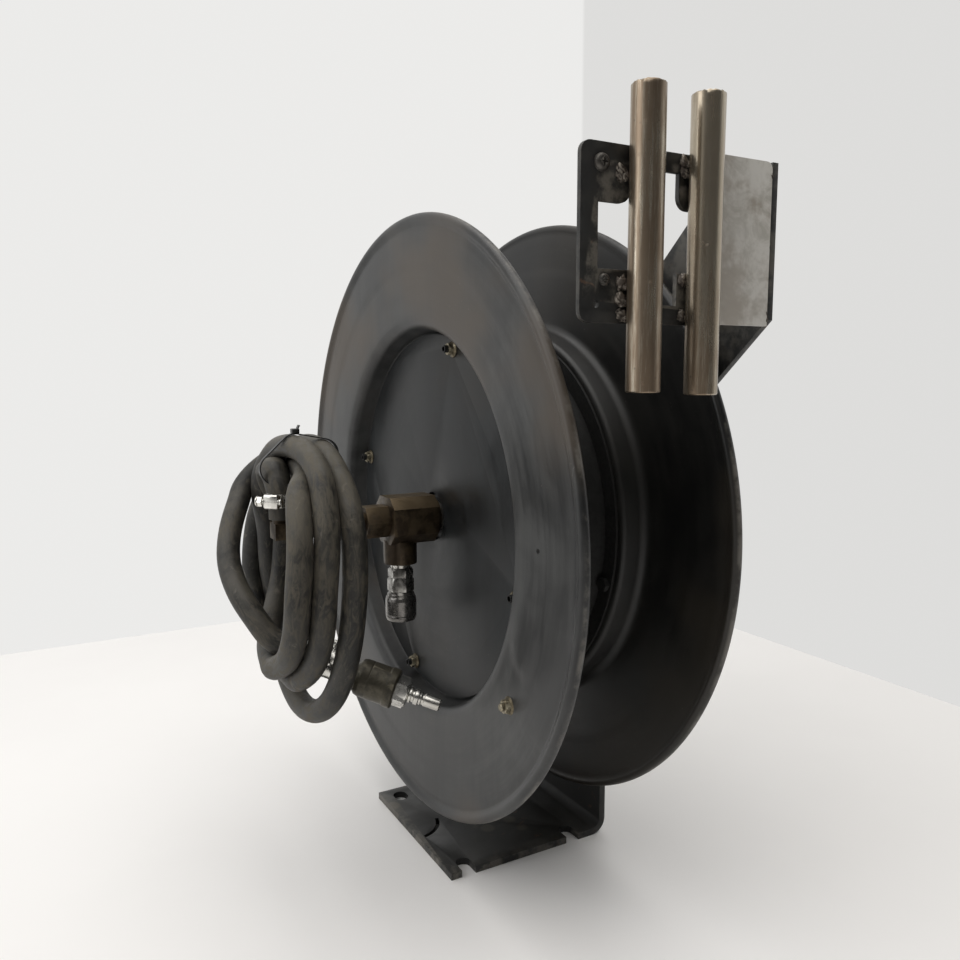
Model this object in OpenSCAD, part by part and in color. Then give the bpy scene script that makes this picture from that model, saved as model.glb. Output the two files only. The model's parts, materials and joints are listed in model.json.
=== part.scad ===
// Spring-rewind hose reel on a one-sided bent foot and post.
// +X runs along the axle towards the post, -Y is the hose guide side, +Z is up.
// The origin is the centre of the foot's underside.

/* [Spool] */
// Outer diameter of both discs
disc_d = 508; // [500:1:512]
// Distance between the two disc rims
disc_gap = 127; // [124:1:130]
// Depth of the recess pressed into each disc
recess_depth = 21; // [19:1:22]
// Outer diameter of the hose drum
drum_d = 286; // [270:1:290]
// Sheet thickness of discs and drum
sheet_t = 2; // [1.5:0.1:2.5]

/* [Foot and post] */
// Length of the foot plate along the axle
foot_l = 157; // [155:1:160]
// Width of the foot plate and of the post's lower end
foot_w = 157; // [150:1:170]
// Thickness of the bent plate
foot_t = 6; // [5:1:7]
// Height of the axle above the floor
axle_h = 292; // [285:1:300]
// Diameter of the axle
axle_d = 25.4; // [24:0.1:26]

/* [Hose guide] */
// Outside diameter of the two upright guide tubes
guide_tube_d = 21.3; // [20:0.1:22]
// Length of each guide tube
guide_tube_l = 184; // [170:1:190]
// Width of the flat arm that carries the guide
arm_w = 109; // [100:1:115]

/* [Inlet hose] */
// Outside diameter of the inlet hose
hose_d = 19; // [18:0.5:20]
// Outside diameter of the hose coil
coil_d = 240; // [230:1:244]

/* [Motion] */
// How far the coupler sleeve slides back
sleeve_travel = 3.5; // [2.5:0.5:3.5]
// Number of ratchet teeth, a multiple of four
ratchet_teeth = 12; // [8:4:12]

/* [Hidden] */

$fn = 72;
cut = 1;                                // overshoot of every cutting tool
disc_r = disc_d / 2;
near_rim_x = -75;
far_rim_x = near_rim_x + disc_gap;
near_floor_x = near_rim_x + recess_depth;
far_floor_x = far_rim_x - recess_depth;
cover_t = 2.5;
cover_r = 157;
cover_hole_r = 21;
cover_bolt_r = 149;                     // radius of the circle of cover bolts
cover_bolt_turn = 74.5;                 // first bolt, from the front towards the top
flange_in_r = 138;
bead_r = 3.6;                           // rolled rim of each disc
drum_r = drum_d / 2;
drum_near_x = near_floor_x + cover_t + sheet_t;
drum_far_x = far_floor_x - cover_t - sheet_t;
bolt_r = 3;
bolt_hole_r = 3.3;

post_x = foot_l / 2 - foot_t;           // inner face of the post
post_out_x = foot_l / 2;
post_top_r = 62;
post_top_z = axle_h + 52;
bend_r = 14;
notch_r = 6.5;
notch_x = [-62, 43];
notch_y = 68;                           // open notches at the front edge
slot_y = [60.5, 64];                    // closed slots behind
arm_t = 5;
arm_tilt = 42;                          // the arm rises this far above level
arm_shift = 8;

axle_r = axle_d / 2;
run = 0.05;                             // radial clearance of running fits
bush_t = 3.2;
bush_r = axle_r + run + bush_t;
ring_r = 24;                            // outside of the bearing rings
ring_l = 12;
hub_r = 28;
case_x = 1;                             // spring case back plate
case_end_x = far_floor_x - cover_t - 2.6;
case_r = 110;
port_x = -12;                           // where the axle feeds the swivel

frame_y = -239.8;                       // back face of the guide frame
frame_t = 3.5;
side_plate_t = 3;
arm_front_y = frame_y - frame_t - side_plate_t;
frame_x0 = -75;
frame_x1 = 37;
frame_z0 = 446;
frame_z1 = 551;
side_plate_x = 27;
side_plate_z = 447;
side_plate_h = 107;
tube_y = frame_y - frame_t - guide_tube_d / 2;
tube_z = [404, 402];                    // lower ends
tube_cut = [4, 1];                      // cut shorter by this much
tube_x = [-34.4, 12.6];

pawl_z = axle_h + 84;
pawl_y = 12;
ratchet_r = 62;
ratchet_t = 5;
ratchet_x = far_floor_x + 0.2;

tee_x0 = -99.5;
tee_x1 = -58;
branch_x = -86;
elbow_x = -189;
coil_x0 = -211;
coil_x1 = -154;
coil_z = 248;
coil_in_r = 84;
hose_r = hose_d / 2;
lead_path = [[-189, 0, 301], [-189, 0, 309], [-189, 0, 317], [-189, 0, 325], [-189, 0, 333]];
tail_path = [[-186, 88, 330], [-193, 86, 321], [-199.5, 81, 311], [-213, 66, 292], [-222, 48, 268.5],
    [-223, 35, 253], [-219, 15, 235], [-210, 0, 219], [-203, -9, 201], [-191, -19, 191],
    [-177, -26, 187], [-163, -32, 185], [-146, -44.5, 178.2]];
tail_end = [-146, -44.5, 178.2];
tail_turn = [0, 108, -36];              // the end fitting points along this direction

// ---- helpers ----

// Puts the children's +Z along the axle, starting at x
module on_axle(x) { translate([x, 0, axle_h]) rotate([0, 90, 0]) children(); }

module tube(r_out, r_in, h) {
    difference() {
        cylinder(r = r_out, h = h);
        translate([0, 0, -cut]) cylinder(r = r_in, h = h + 2 * cut);
    }
}

module hex(flats, h) { rotate(30) cylinder(r = flats / sqrt(3), h = h, $fn = 6); }

// Points of an arc, angles in degrees
function arc(c, r, a0, a1, n = 6) =
    [for (i = [0:n]) c + r * [cos(a0 + (a1 - a0) * i / n), sin(a0 + (a1 - a0) * i / n)]];

// Front-to-top angle a on a circle of radius r round the axle, in the Y-Z plane
function round_axle(r, a) = [-r * cos(a), axle_h + r * sin(a)];

// A round cord swept along points, one ring at each
function unit(v) = v / norm(v);
function heading(p, i) = unit(p[min(i + 1, len(p) - 1)] - p[max(i - 1, 0)]);
function cord_ring(p, i, r, n) =
    let (t = heading(p, i), a = unit(cross(t, [0.31, 1, 0.17])), b = cross(t, a))
    [for (k = [0:n - 1]) p[i] + r * (cos(360 * k / n) * a + sin(360 * k / n) * b)];

module cord(p, r, n = 12) {
    rings = [for (i = [0:len(p) - 1]) each cord_ring(p, i, r, n)];
    sides = [for (i = [0:len(p) - 2], k = [0:n - 1])
        [i * n + k, i * n + (k + 1) % n, (i + 1) * n + (k + 1) % n, (i + 1) * n + k]];
    start = [for (k = [n - 1:-1:0]) k];
    end = [for (k = [0:n - 1]) (len(p) - 1) * n + k];
    polyhedron(rings, concat([start], sides, [end]));
}

// ---- foot, post and axle ----

module base_post() {
    color([0.13, 0.13, 0.13])
    difference() {
        intersection() {
            translate([0, foot_w / 2, 0]) rotate([90, 0, 0])
                linear_extrude(foot_w) foot_plate_and_post();
            rotate([90, 0, 90]) translate([0, 0, -foot_l])
                linear_extrude(2 * foot_l) polygon(post_points());
        }
        for (x = notch_x) {
            translate([x, -notch_y, -cut]) cylinder(r = notch_r, h = foot_t + 2 * cut);
            translate([x - notch_r, -notch_y - 20, -cut])
                cube([2 * notch_r, 20, foot_t + 2 * cut]);
            hull() for (y = slot_y) translate([x, y, -cut])
                cylinder(r = notch_r, h = foot_t + 2 * cut);
        }
        foot_arc_slot();
        on_axle(post_x - cut) cylinder(r = axle_r, h = foot_t + 2 * cut);
        flange_holes(post_x - cut, foot_t + 2 * cut);
        translate([post_x - cut, pawl_y, pawl_z]) rotate([0, 90, 0])
            cylinder(r = 4, h = foot_t + 2 * cut);
    }
}

module foot_plate_and_post() {
    difference() {
        union() {
            translate([-foot_l / 2, 0]) square([foot_l - bend_r, foot_t]);
            translate([post_x, bend_r]) square([foot_t, post_top_z + post_top_r - bend_r]);
            intersection() {
                translate([post_out_x - bend_r, bend_r]) circle(r = bend_r);
                translate([post_out_x - bend_r, 0]) square(bend_r);
            }
        }
        translate([post_out_x - bend_r, bend_r]) circle(r = bend_r - foot_t);
    }
}

// Post seen along the axle: full width at the foot, tapering to a round top
function post_points() = concat(
    [[-foot_w / 2, -cut], [foot_w / 2, -cut], [foot_w / 2, 90]],
    arc([0, post_top_z], post_top_r, 8, 172, 24),
    [[-foot_w / 2, 90]]);

// Narrow curved slot near the foot's free end
module foot_arc_slot() {
    translate([-78, 12, -cut]) intersection() {
        tube(30, 26.5, foot_t + 2 * cut);
        linear_extrude(foot_t + 2 * cut) polygon([[0, 0], [60, -10.6], [60, -60], [10.6, -60]]);
    }
}

flange_bolt_r = 38;
flange_bolt_hole = 5.3;

module flange_holes(x, h) {
    for (k = [0:3]) on_axle(x) rotate(45 + 90 * k) translate([flange_bolt_r, 0, 0])
        cylinder(r = flange_bolt_hole, h = h);
}

module axle_flange() {
    color([0.16, 0.16, 0.16])
    difference() {
        union() {
            on_axle(post_x - 8) cylinder(r = 50, h = 8);
            on_axle(post_x - 22) cylinder(r = 21, h = 15);
        }
        on_axle(post_x - 30) cylinder(r = axle_r, h = 40);
        flange_holes(post_x - 9, 10);
    }
}

// Four bolts with heads inside and nuts behind the arm
module flange_bolts() {
    color([0.45, 0.43, 0.38])
    for (k = [0:3]) {
        turn = 45 + 90 * k;
        on_axle(post_x - 14.5) rotate(turn) translate([flange_bolt_r, 0, 0]) {
            hex(16, 6.5);
            translate([0, 0, 6]) cylinder(r = 5, h = 30);
            translate([0, 0, 14.5 + foot_t + arm_t]) hex(16, 8);
        }
    }
}

module axle() {
    color([0.55, 0.55, 0.53])
    difference() {
        on_axle(tee_x1 - 18) cylinder(r = axle_r, h = 178);
        on_axle(tee_x1 - 19) cylinder(r = 5, h = port_x - tee_x1 + 22);
        translate([port_x, -30, axle_h]) rotate([-90, 0, 0]) cylinder(r = 3, h = 60);
    }
}

module axle_washer() {
    color([0.5, 0.5, 0.48]) on_axle(post_out_x + arm_t) tube(23, axle_r, 3);
}

module axle_nut() {
    color([0.5, 0.48, 0.42]) on_axle(post_out_x + arm_t + 3) difference() {
        hex(38, 13);
        translate([0, 0, -cut]) cylinder(r = axle_r, h = 13 + 2 * cut);
    }
}

// ---- hose guide ----

function arm_point(along, across) = [
    -along * cos(arm_tilt) + across * sin(arm_tilt),
    axle_h + along * sin(arm_tilt) + across * cos(arm_tilt)];

module guide_arm() {
    half = arm_w / 2;
    color([0.11, 0.11, 0.11])
    difference() {
        translate([post_out_x, 0, 0]) rotate([90, 0, 90]) linear_extrude(arm_t) intersection() {
            polygon([arm_point(-40, arm_shift - half), arm_point(-56, arm_shift - half + 16),
                arm_point(-56, arm_shift + half - 16), arm_point(-40, arm_shift + half),
                arm_point(420, arm_shift + half), arm_point(420, arm_shift - half)]);
            translate([arm_front_y, 0]) square([400, frame_z1 + 3]);
        }
        on_axle(post_out_x - cut) cylinder(r = axle_r, h = arm_t + 2 * cut);
        flange_holes(post_out_x - cut, arm_t + 2 * cut);
    }
}

// Upright plate drawn in X-Z with its thickness towards -Y
module upright(y_back, t) { translate([0, y_back, 0]) rotate([90, 0, 0]) linear_extrude(t) children(); }

module guide_frame() {
    corner = 7;
    color([0.12, 0.12, 0.12])
    difference() {
        upright(frame_y, frame_t) difference() {
            polygon(concat(
                arc([frame_x0 + corner, frame_z1 - corner], corner, 180, 90),
                arc([frame_x1 - corner, frame_z1 - corner], corner, 90, 0),
                arc([frame_x1 - corner, frame_z0 + corner], corner, 0, -90),
                arc([frame_x0 + corner, frame_z0 + corner], corner, 270, 180)));
            guide_window();
        }
        for (x = [frame_x0 + 12.5, frame_x1 - 12.5])
            translate([x, frame_y + cut, 457]) rotate([90, 0, 0])
                cylinder(r = 2.2, h = frame_t + 2 * cut);
        for (p = guide_screw_at)
            translate([p[0], frame_y + cut, p[1]]) rotate([90, 0, 0])
                cylinder(r = 3.1 * p[2], h = frame_t + 2 * cut);
    }
}

// Window between the strips, left wider below the upper tabs
module guide_window() {
    tab_r = 8;
    polygon(concat(
        [[-62, 478], [-38, 478], [-38, 458], [0, 458], [0, 478], [24, 478], [24, 517]],
        arc([8, 525], tab_r, 270, 180),
        [[0, 539], [-38, 539]],
        arc([-46, 525], tab_r, 0, -90),
        [[-62, 517]]));
}

guide_screw_at = [[-60, 539, 1], [-57, 471.5, 0.7]];   // X, Z and size

module guide_screws() {
    color([0.42, 0.38, 0.32])
    for (p = guide_screw_at)
        translate([p[0], frame_y - frame_t, p[1]]) rotate([90, 0, 0]) scale(p[2]) difference() {
            union() {
                translate([0, 0, -8]) cylinder(r = 3, h = 8.5);
                rotate_extrude() polygon(concat([[0, 0]], arc([2.5, 0], 3, 0, 90), [[0, 3]]));
            }
            for (a = [0, 90]) rotate(a) translate([-2.6, -0.5, 1.4]) cube([5.2, 1, 3]);
        }
}

module guide_side_plate() {
    corner = [post_out_x - 5, side_plate_z + side_plate_h - 5];
    color([0.62, 0.61, 0.57]) upright(frame_y - frame_t, side_plate_t)
        polygon(concat([[side_plate_x, side_plate_z], [side_plate_x, side_plate_z + side_plate_h]],
            arc(corner, 5, 90, 0), [[post_out_x, side_plate_z]]));
}

module guide_tube(k) {
    translate([tube_x[k], tube_y, tube_z[k]])
        tube(guide_tube_d / 2, 7.9, guide_tube_l - tube_cut[k]);
}

module guide_tube_left() { color([0.5, 0.46, 0.4]) guide_tube(0); }

module guide_tube_right() { color([0.5, 0.46, 0.4]) guide_tube(1); }

// Weld beads: left of each tube, and along the side plate and the arm
weld_at = [[-46, 534], [-44, 471], [-44, 461], [-44, 451], [3, 546], [3, 541], [6, 474], [6, 452],
    [-24, 545], [-24, 452], [24, 545], [24, 452]];

module guide_welds() {
    color([0.33, 0.31, 0.29]) {
        for (p = weld_at) translate([p[0], frame_y - frame_t - 0.5, p[1]]) sphere(r = 3.6, $fn = 32);
        for (z = [452, 500, 545]) translate([post_out_x, frame_y - frame_t - 1.5, z])
            sphere(r = 3, $fn = 32);
    }
}

// ---- power spring and latch ----

module spring_arbor() {
    color([0.35, 0.35, 0.34]) on_axle(case_x + 4.5) tube(19, axle_r, case_end_x - case_x - 9);
}

spring_turns = 5;
spring_steps = 20;
spring_in_r = 19.6;
spring_out_r = case_r - 3;

function spiral(r_add) = [for (i = [0:spring_turns * spring_steps])
    let (f = i / (spring_turns * spring_steps), a = 360 * spring_turns * f)
    (spring_in_r + (spring_out_r - spring_in_r) * f + r_add) * [cos(a), sin(a)]];

// Flat steel strip wound in a spiral round the arbor
module power_spring() {
    strip_t = 1.2;
    color([0.25, 0.27, 0.32]) on_axle(case_x + 5.5) linear_extrude(case_end_x - case_x - 11)
        polygon(concat(spiral(strip_t / 2),
            [for (i = [spring_turns * spring_steps:-1:0]) spiral(-strip_t / 2)[i]]));
}

module pawl_pin() {
    color([0.5, 0.5, 0.48]) {
        translate([ratchet_x + 0.4, pawl_y, pawl_z]) rotate([0, 90, 0])
            cylinder(r = 4, h = post_out_x - ratchet_x - 0.4);
    }
}

module pawl_spring() {
    color([0.3, 0.3, 0.3])
    for (k = [0:6]) translate([ratchet_x + 8 + 2.2 * k, pawl_y, pawl_z]) rotate([0, 90, 0])
        rotate_extrude() translate([5.6, 0]) circle(r = 0.9, $fn = 16);
}

// Hook-ended latch, held just clear of the teeth by its spring
module latch_pawl() {
    color([0.4, 0.4, 0.38])
    translate([ratchet_x + 0.6, 0, 0]) rotate([90, 0, 90]) linear_extrude(ratchet_t - 1)
        difference() {
            translate([pawl_y, pawl_z]) union() {
                circle(r = 9);
                polygon([[0, 9], [-34, 3], [-46, -7], [-45, -14], [-39, -15], [-33, -7],
                    [0, -9]]);
            }
            translate([pawl_y, pawl_z]) circle(r = 4 + run);
        }
}

// ---- spool ----

// Offsets a line of points by d to its left
function beside(p, d) = [for (i = [0:len(p) - 1])
    let (t = heading(p, i)) p[i] + d * [-t[1], t[0]]];

// Middle line of the pressed sheet, from the flange under the cover out to the rim
function disc_line() = let (floor_z = recess_depth + cover_t + sheet_t / 2) concat(
    [[flange_in_r, floor_z], [157, floor_z], [160.4, floor_z - 1.6], [161.5, floor_z - 5]],
    arc([172, sheet_t / 2 + 8], 8, 180, 270),
    [[disc_r - bead_r, sheet_t / 2]]);

// One pressed disc, outer face towards -Z, rim plane at z = 0
module spun_disc() {
    difference() {
        union() {
            rotate_extrude() polygon(concat(beside(disc_line(), sheet_t / 2),
                [for (i = [len(disc_line()) - 1:-1:0]) beside(disc_line(), -sheet_t / 2)[i]]));
            translate([0, 0, sheet_t / 2]) rotate_extrude()
                translate([disc_r - bead_r, 0]) circle(r = bead_r);
        }
        for (k = [0:3]) rotate(90 * k) translate([cover_bolt_r, 0, recess_depth])
            cylinder(r = bolt_hole_r, h = 10);
    }
}

module near_disc() {
    color([0.2, 0.21, 0.22])
    difference() {
        on_axle(near_rim_x) rotate(-cover_bolt_turn) spun_disc();
        rim_bolt_place(-10) cylinder(r = bolt_hole_r, h = 20);
        translate([near_rim_x - 5, -199, 299]) rotate([0, 90, 0]) cylinder(r = 2, h = 15);
    }
}

module far_disc() {
    color([0.2, 0.21, 0.22])
    translate([far_rim_x, 0, axle_h]) rotate([0, -90, 0]) rotate(cover_bolt_turn) spun_disc();
}

module bolt_circle(x) {
    for (k = [0:3]) {
        p = round_axle(cover_bolt_r, cover_bolt_turn + 90 * k);
        translate([x, p[0], p[1]]) rotate([0, 90, 0]) children();
    }
}

module drum() {
    l = drum_far_x - drum_near_x;
    color([0.12, 0.12, 0.12])
    difference() {
        on_axle(drum_near_x) rotate_extrude($fn = 128)
            polygon([[drum_r - sheet_t, 0], [cover_r - 1, 0], [cover_r - 1, sheet_t],
                [drum_r, sheet_t], [drum_r, l - sheet_t], [cover_r - 1, l - sheet_t],
                [cover_r - 1, l], [drum_r - sheet_t, l]]);
        bolt_circle(drum_near_x - cut) cylinder(r = bolt_hole_r, h = l + 2 * cut);
        translate([port_x, 120, axle_h]) rotate([-90, 0, 0]) cylinder(r = 10.2, h = 40);
    }
}

module cover_plate(hole_r) {
    difference() {
        tube(cover_r, hole_r, cover_t);
        for (k = [0:3]) rotate(90 * k) translate([cover_bolt_r, 0, -cut])
            cylinder(r = bolt_hole_r, h = cover_t + 2 * cut);
    }
}

module near_cover() {
    color([0.17, 0.18, 0.19]) on_axle(near_floor_x) rotate(-cover_bolt_turn)
        cover_plate(cover_hole_r);
}

module far_cover() {
    color([0.17, 0.18, 0.19]) on_axle(far_floor_x - cover_t) rotate(-cover_bolt_turn)
        cover_plate(ring_r);
}

// Bolt heads inside the drum, threads out through each cover
module cover_bolts() {
    color([0.42, 0.4, 0.33]) {
        bolt_circle(near_floor_x - 9) cylinder(r = bolt_r, h = drum_near_x - near_floor_x + 11);
        bolt_circle(drum_near_x + sheet_t) hex(10, 4);
        bolt_circle(drum_far_x - sheet_t) cylinder(r = bolt_r, h = far_floor_x - drum_far_x + 11);
        bolt_circle(drum_far_x - sheet_t - 4) hex(10, 4);
    }
}

module flange_nut() {
    difference() {
        union() {
            cylinder(r = 6.6, h = 1.4);
            hex(10, 5.5);
        }
        translate([0, 0, -cut]) cylinder(r = bolt_r, h = 8);
    }
}

module cover_nuts() {
    color([0.42, 0.4, 0.33]) {
        bolt_circle(near_floor_x) rotate([180, 0, 0]) flange_nut();
        bolt_circle(far_floor_x) flange_nut();
    }
}

module rim_bolt_place(dx) {
    p = round_axle(197.6, -34.6);
    translate([near_rim_x + dx, p[0], p[1]]) rotate([0, 90, 0]) children();
}

// Single bolt and nut through the near disc's flat
module rim_bolt() {
    color([0.42, 0.4, 0.33]) {
        rim_bolt_place(-8) cylinder(r = bolt_r, h = 10 + sheet_t);
        rim_bolt_place(0) rotate([180, 0, 0]) flange_nut();
        rim_bolt_place(sheet_t) hex(10, 4);
    }
}

module hub_tube() {
    x0 = near_floor_x + cover_t;
    color([0.15, 0.15, 0.15])
    difference() {
        on_axle(x0) tube(hub_r, ring_r, case_x - x0);
        translate([port_x, 0, axle_h]) rotate([-90, 0, 0]) cylinder(r = 7.3, h = 40);
    }
}

module bearing_ring(x) { on_axle(x) tube(ring_r, bush_r, ring_l); }

module bushing(x) { on_axle(x) tube(bush_r, axle_r + run, ring_l); }

near_ring_x = near_floor_x + cover_t + 2;
far_ring_x = far_floor_x - cover_t;

module near_bearing_ring() { color([0.3, 0.3, 0.3]) bearing_ring(near_ring_x); }

module near_bushing() { color([0.6, 0.48, 0.28]) bushing(near_ring_x); }

module far_bearing_ring() { color([0.3, 0.3, 0.3]) bearing_ring(far_ring_x); }

module far_bushing() { color([0.6, 0.48, 0.28]) bushing(far_ring_x); }

// Shallow can round the power spring, carried on the hub tube's end
module spring_case() {
    l = case_end_x - case_x;
    color([0.22, 0.22, 0.22]) on_axle(case_x) rotate_extrude()
        polygon([[axle_r + 8, 0], [case_r, 0], [case_r, l], [case_r - 2, l],
            [case_r - 2, 2], [axle_r + 8, 2]]);
}

module spring_lid() {
    color([0.22, 0.22, 0.22]) on_axle(case_end_x) tube(case_r, axle_r + 8, 2.5);
}

module ratchet_wheel() {
    pitch = 360 / ratchet_teeth;
    root_r = ratchet_r - 9;
    color([0.3, 0.3, 0.29])
    on_axle(far_floor_x) difference() {
        linear_extrude(ratchet_t) polygon([for (k = [0:ratchet_teeth - 1]) each [
            ratchet_r * [cos(pitch * k), sin(pitch * k)],
            (ratchet_r - 1) * [cos(pitch * (k + 0.2)), sin(pitch * (k + 0.2))],
            root_r * [cos(pitch * (k + 0.75)), sin(pitch * (k + 0.75))],
            root_r * [cos(pitch * (k + 0.96)), sin(pitch * (k + 0.96))]]]);
        translate([0, 0, -cut]) cylinder(r = 36, h = ratchet_t + 2 * cut);
    }
}

// ---- air path inside the drum ----

module swivel_housing() {
    seal_x = [4, 22];
    color([0.6, 0.48, 0.28]) difference() {
        on_axle(port_x - 14) difference() {
            cylinder(r = 22, h = 26);
            translate([0, 0, -cut]) cylinder(r = axle_r + run, h = 28);
            for (x = seal_x) translate([0, 0, x - 1.5]) cylinder(r = axle_r + 2.8, h = 3);
            translate([0, 0, 10.5]) cylinder(r = axle_r + 2, h = 7);
        }
        translate([port_x, axle_r, axle_h]) rotate([-90, 0, 0]) cylinder(r = 5, h = 12);
    }
}

module swivel_seals() {
    color([0.08, 0.08, 0.08])
    for (x = [4, 22]) on_axle(port_x - 14 + x) rotate_extrude()
        translate([axle_r + 1.5, 0]) circle(r = 1.2, $fn = 24);
}

riser_start_y = 20.5;
fitting_y = drum_r - 16;

module outlet_riser() {
    color([0.6, 0.48, 0.28]) translate([port_x, riser_start_y, axle_h]) rotate([-90, 0, 0])
        tube(7, 5, fitting_y - riser_start_y);
}

// Threaded hose outlet through the drum wall, empty until a hose is fitted
module outlet_fitting() {
    color([0.6, 0.48, 0.28]) translate([port_x, fitting_y, axle_h]) rotate([-90, 0, 0])
        difference() {
            union() {
                cylinder(r = 10, h = 32);
                translate([0, 0, 4]) hex(26, 9);
                translate([0, 0, 20]) hex(26, 9);
            }
            translate([0, 0, 12]) cylinder(r = 6.9, h = 30);
            translate([0, 0, -cut]) cylinder(r = 5, h = 30);
        }
}

// ---- inlet fittings ----

// Forged block with chamfered edges, a round neck and a collar below
module inlet_tee() {
    half = 20;
    ch = 9;
    color([0.3, 0.26, 0.2])
    difference() {
        union() {
            on_axle(tee_x0) linear_extrude(tee_x1 - tee_x0)
                polygon([for (a = [0:3]) each [
                    [cos(90 * a) * half - sin(90 * a) * (half - ch),
                        sin(90 * a) * half + cos(90 * a) * (half - ch)],
                    [cos(90 * a) * (half - ch) - sin(90 * a) * half,
                        sin(90 * a) * (half - ch) + cos(90 * a) * half]]]);
            on_axle(tee_x1 - 1) cylinder(r = 17, h = 5);
            translate([branch_x, 0, axle_h - 38]) cylinder(r = 14.3, h = 20);
        }
        on_axle(tee_x1 - 18) cylinder(r = axle_r, h = 30);
        on_axle(tee_x0 - cut) cylinder(r = 7, h = 30);
        translate([branch_x, 0, axle_h - 39]) cylinder(r = 7, h = 39);
    }
}

module tee_bushing() {
    color([0.32, 0.27, 0.2]) on_axle(tee_x0 - 20.5) difference() {
        hex(26, 20.5);
        translate([0, 0, -cut]) cylinder(r = 8.6, h = 13);
        translate([0, 0, 5]) cylinder(r = 6, h = 20);
    }
}

module inlet_nipple() {
    color([0.35, 0.3, 0.24]) on_axle(-174) tube(8.6, 6, 66);
}

module barb_elbow() {
    color([0.42, 0.33, 0.2])
    difference() {
        union() {
            translate([elbow_x + 8, 0, axle_h]) rotate([0, 90, 0]) cylinder(r = 12, h = 14);
            translate([elbow_x - 7, -8, axle_h - 7]) cube([16, 16, 13]);
            translate([elbow_x, 0, axle_h]) cylinder(r = 7, h = 9);
        }
        translate([-174, 0, axle_h]) rotate([0, 90, 0]) cylinder(r = 8.6, h = 20);
        translate([elbow_x, 0, axle_h]) rotate([0, 90, 0]) cylinder(r = 5, h = 30);
        translate([elbow_x, 0, axle_h]) cylinder(r = 4, h = 30);
    }
}

// ---- quick coupler on the tee's branch, socket facing down ----

body_top_z = axle_h - 42;
socket_z = axle_h - 86.5;
shoulder_z = axle_h - 68;
body_low_r = 9.6;
barrel_r = 11.8;
socket_r = 5.7;
socket_l = 20;
valve_r = 7;                            // chamber behind the socket

module on_branch(z) { translate([branch_x, 0, z]) children(); }

module coupler_adapter() {
    color([0.6, 0.56, 0.45]) on_branch(axle_h - 52) difference() {
        union() {
            translate([0, 0, 10]) cylinder(r = 8.5, h = 4);
            cylinder(r = 6.9, h = 28);
        }
        translate([0, 0, -cut]) cylinder(r = 4, h = 30);
    }
}

module coupler_body() {
    color([0.38, 0.36, 0.31]) difference() {
        union() {
            on_branch(body_top_z - 8) hex(19, 8);
            on_branch(shoulder_z) cylinder(r = barrel_r, h = body_top_z - 8 - shoulder_z);
            on_branch(socket_z) cylinder(r = body_low_r, h = shoulder_z - socket_z + 2);
        }
        on_branch(socket_z - cut) cylinder(r = socket_r, h = 30);
        on_branch(socket_z + socket_l) cylinder(r = valve_r, h = 13);
        on_branch(axle_h - 52) cylinder(r = 6.9, h = 12);
    }
}

module coupler_valve() {
    color([0.6, 0.48, 0.28]) on_branch(socket_z + socket_l + 0.5) {
        cylinder(r = valve_r - run, h = 4);
        translate([0, 0, 3]) cylinder(r = 2.5, h = 5);
    }
}

module valve_spring() {
    color([0.5, 0.5, 0.5])
    for (k = [0:2]) on_branch(socket_z + socket_l + 5.6 + 2.8 * k) rotate_extrude()
        translate([4.6, 0]) circle(r = 0.6, $fn = 16);
}

module coupler_sleeve() {
    color([0.42, 0.41, 0.4]) on_branch(socket_z - 1.5) difference() {
        cylinder(r = 13.5, h = 18 + sleeve_travel);
        translate([0, 0, -cut]) cylinder(r = body_low_r + run, h = 30);
        translate([0, 0, 8]) cylinder(r = barrel_r + run, h = 20);
    }
}

module sleeve_spring() {
    color([0.5, 0.5, 0.5])
    for (k = [0:2]) on_branch(socket_z + 9 + 3.2 * k) rotate_extrude()
        translate([10.7, 0]) circle(r = 0.7, $fn = 16);
}

// ---- inlet hose, kept coiled round the elbow ----

// Worm-drive clamp: band, screw housing and screw, standing on +Z
module hose_clamp() {
    tube(hose_r + 1, hose_r + 0.1, 11);
    translate([-7, -hose_r - 6, -0.5]) difference() {
        cube([12, 7, 12]);
        translate([-cut, 5.5, -cut]) cube([14, 3, 14]);
    }
    translate([-13, -hose_r - 3.4, 5.5]) rotate([0, 90, 0]) {
        cylinder(r = 4, h = 5);
        cylinder(r = 2.6, h = 22);
    }
}

module elbow_clamp() {
    color([0.7, 0.69, 0.66]) translate([elbow_x, 0, axle_h + 19]) rotate(-45)
        hose_clamp();
}

module hose_lead() { color([0.14, 0.14, 0.13]) cord(lead_path, hose_r); }

module hose_tail() { color([0.14, 0.14, 0.13]) cord(tail_path, hose_r); }

module hose_coil() {
    r = 8;
    l = coil_x1 - coil_x0;
    color([0.16, 0.155, 0.14])
    translate([coil_x0, 0, coil_z]) rotate([0, 90, 0]) rotate_extrude($fn = 96) polygon(concat(
        arc([coil_in_r + r, r], r, 270, 180, 5),
        arc([coil_in_r + r, l - r], r, 180, 90, 5),
        arc([coil_d / 2 - r, l - r], r, 90, 0, 5),
        arc([coil_d / 2 - r, r], r, 0, -90, 5)));
}

// Along the hose's last stretch and its end fittings
module on_tail(d) { translate(tail_end) rotate(tail_turn) translate([0, 0, d]) children(); }

module tail_clamp() { color([0.7, 0.69, 0.66]) on_tail(-27) rotate(-60) hose_clamp(); }

module hose_end_body() {
    color([0.26, 0.24, 0.18]) on_tail(0) difference() {
        rotate_extrude() polygon([[0, 0], [11, 0], [15.2, 4], [15.2, 27], [16, 28], [16, 34],
            [15, 35], [0, 35]]);
        translate([0, 0, 24]) cylinder(r = 6, h = 20);
    }
}

module plug_nut() {
    color([0.66, 0.65, 0.6]) on_tail(35) difference() {
        hex(22, 10);
        translate([0, 0, -cut]) cylinder(r = 5.3, h = 12);
    }
}

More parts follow.
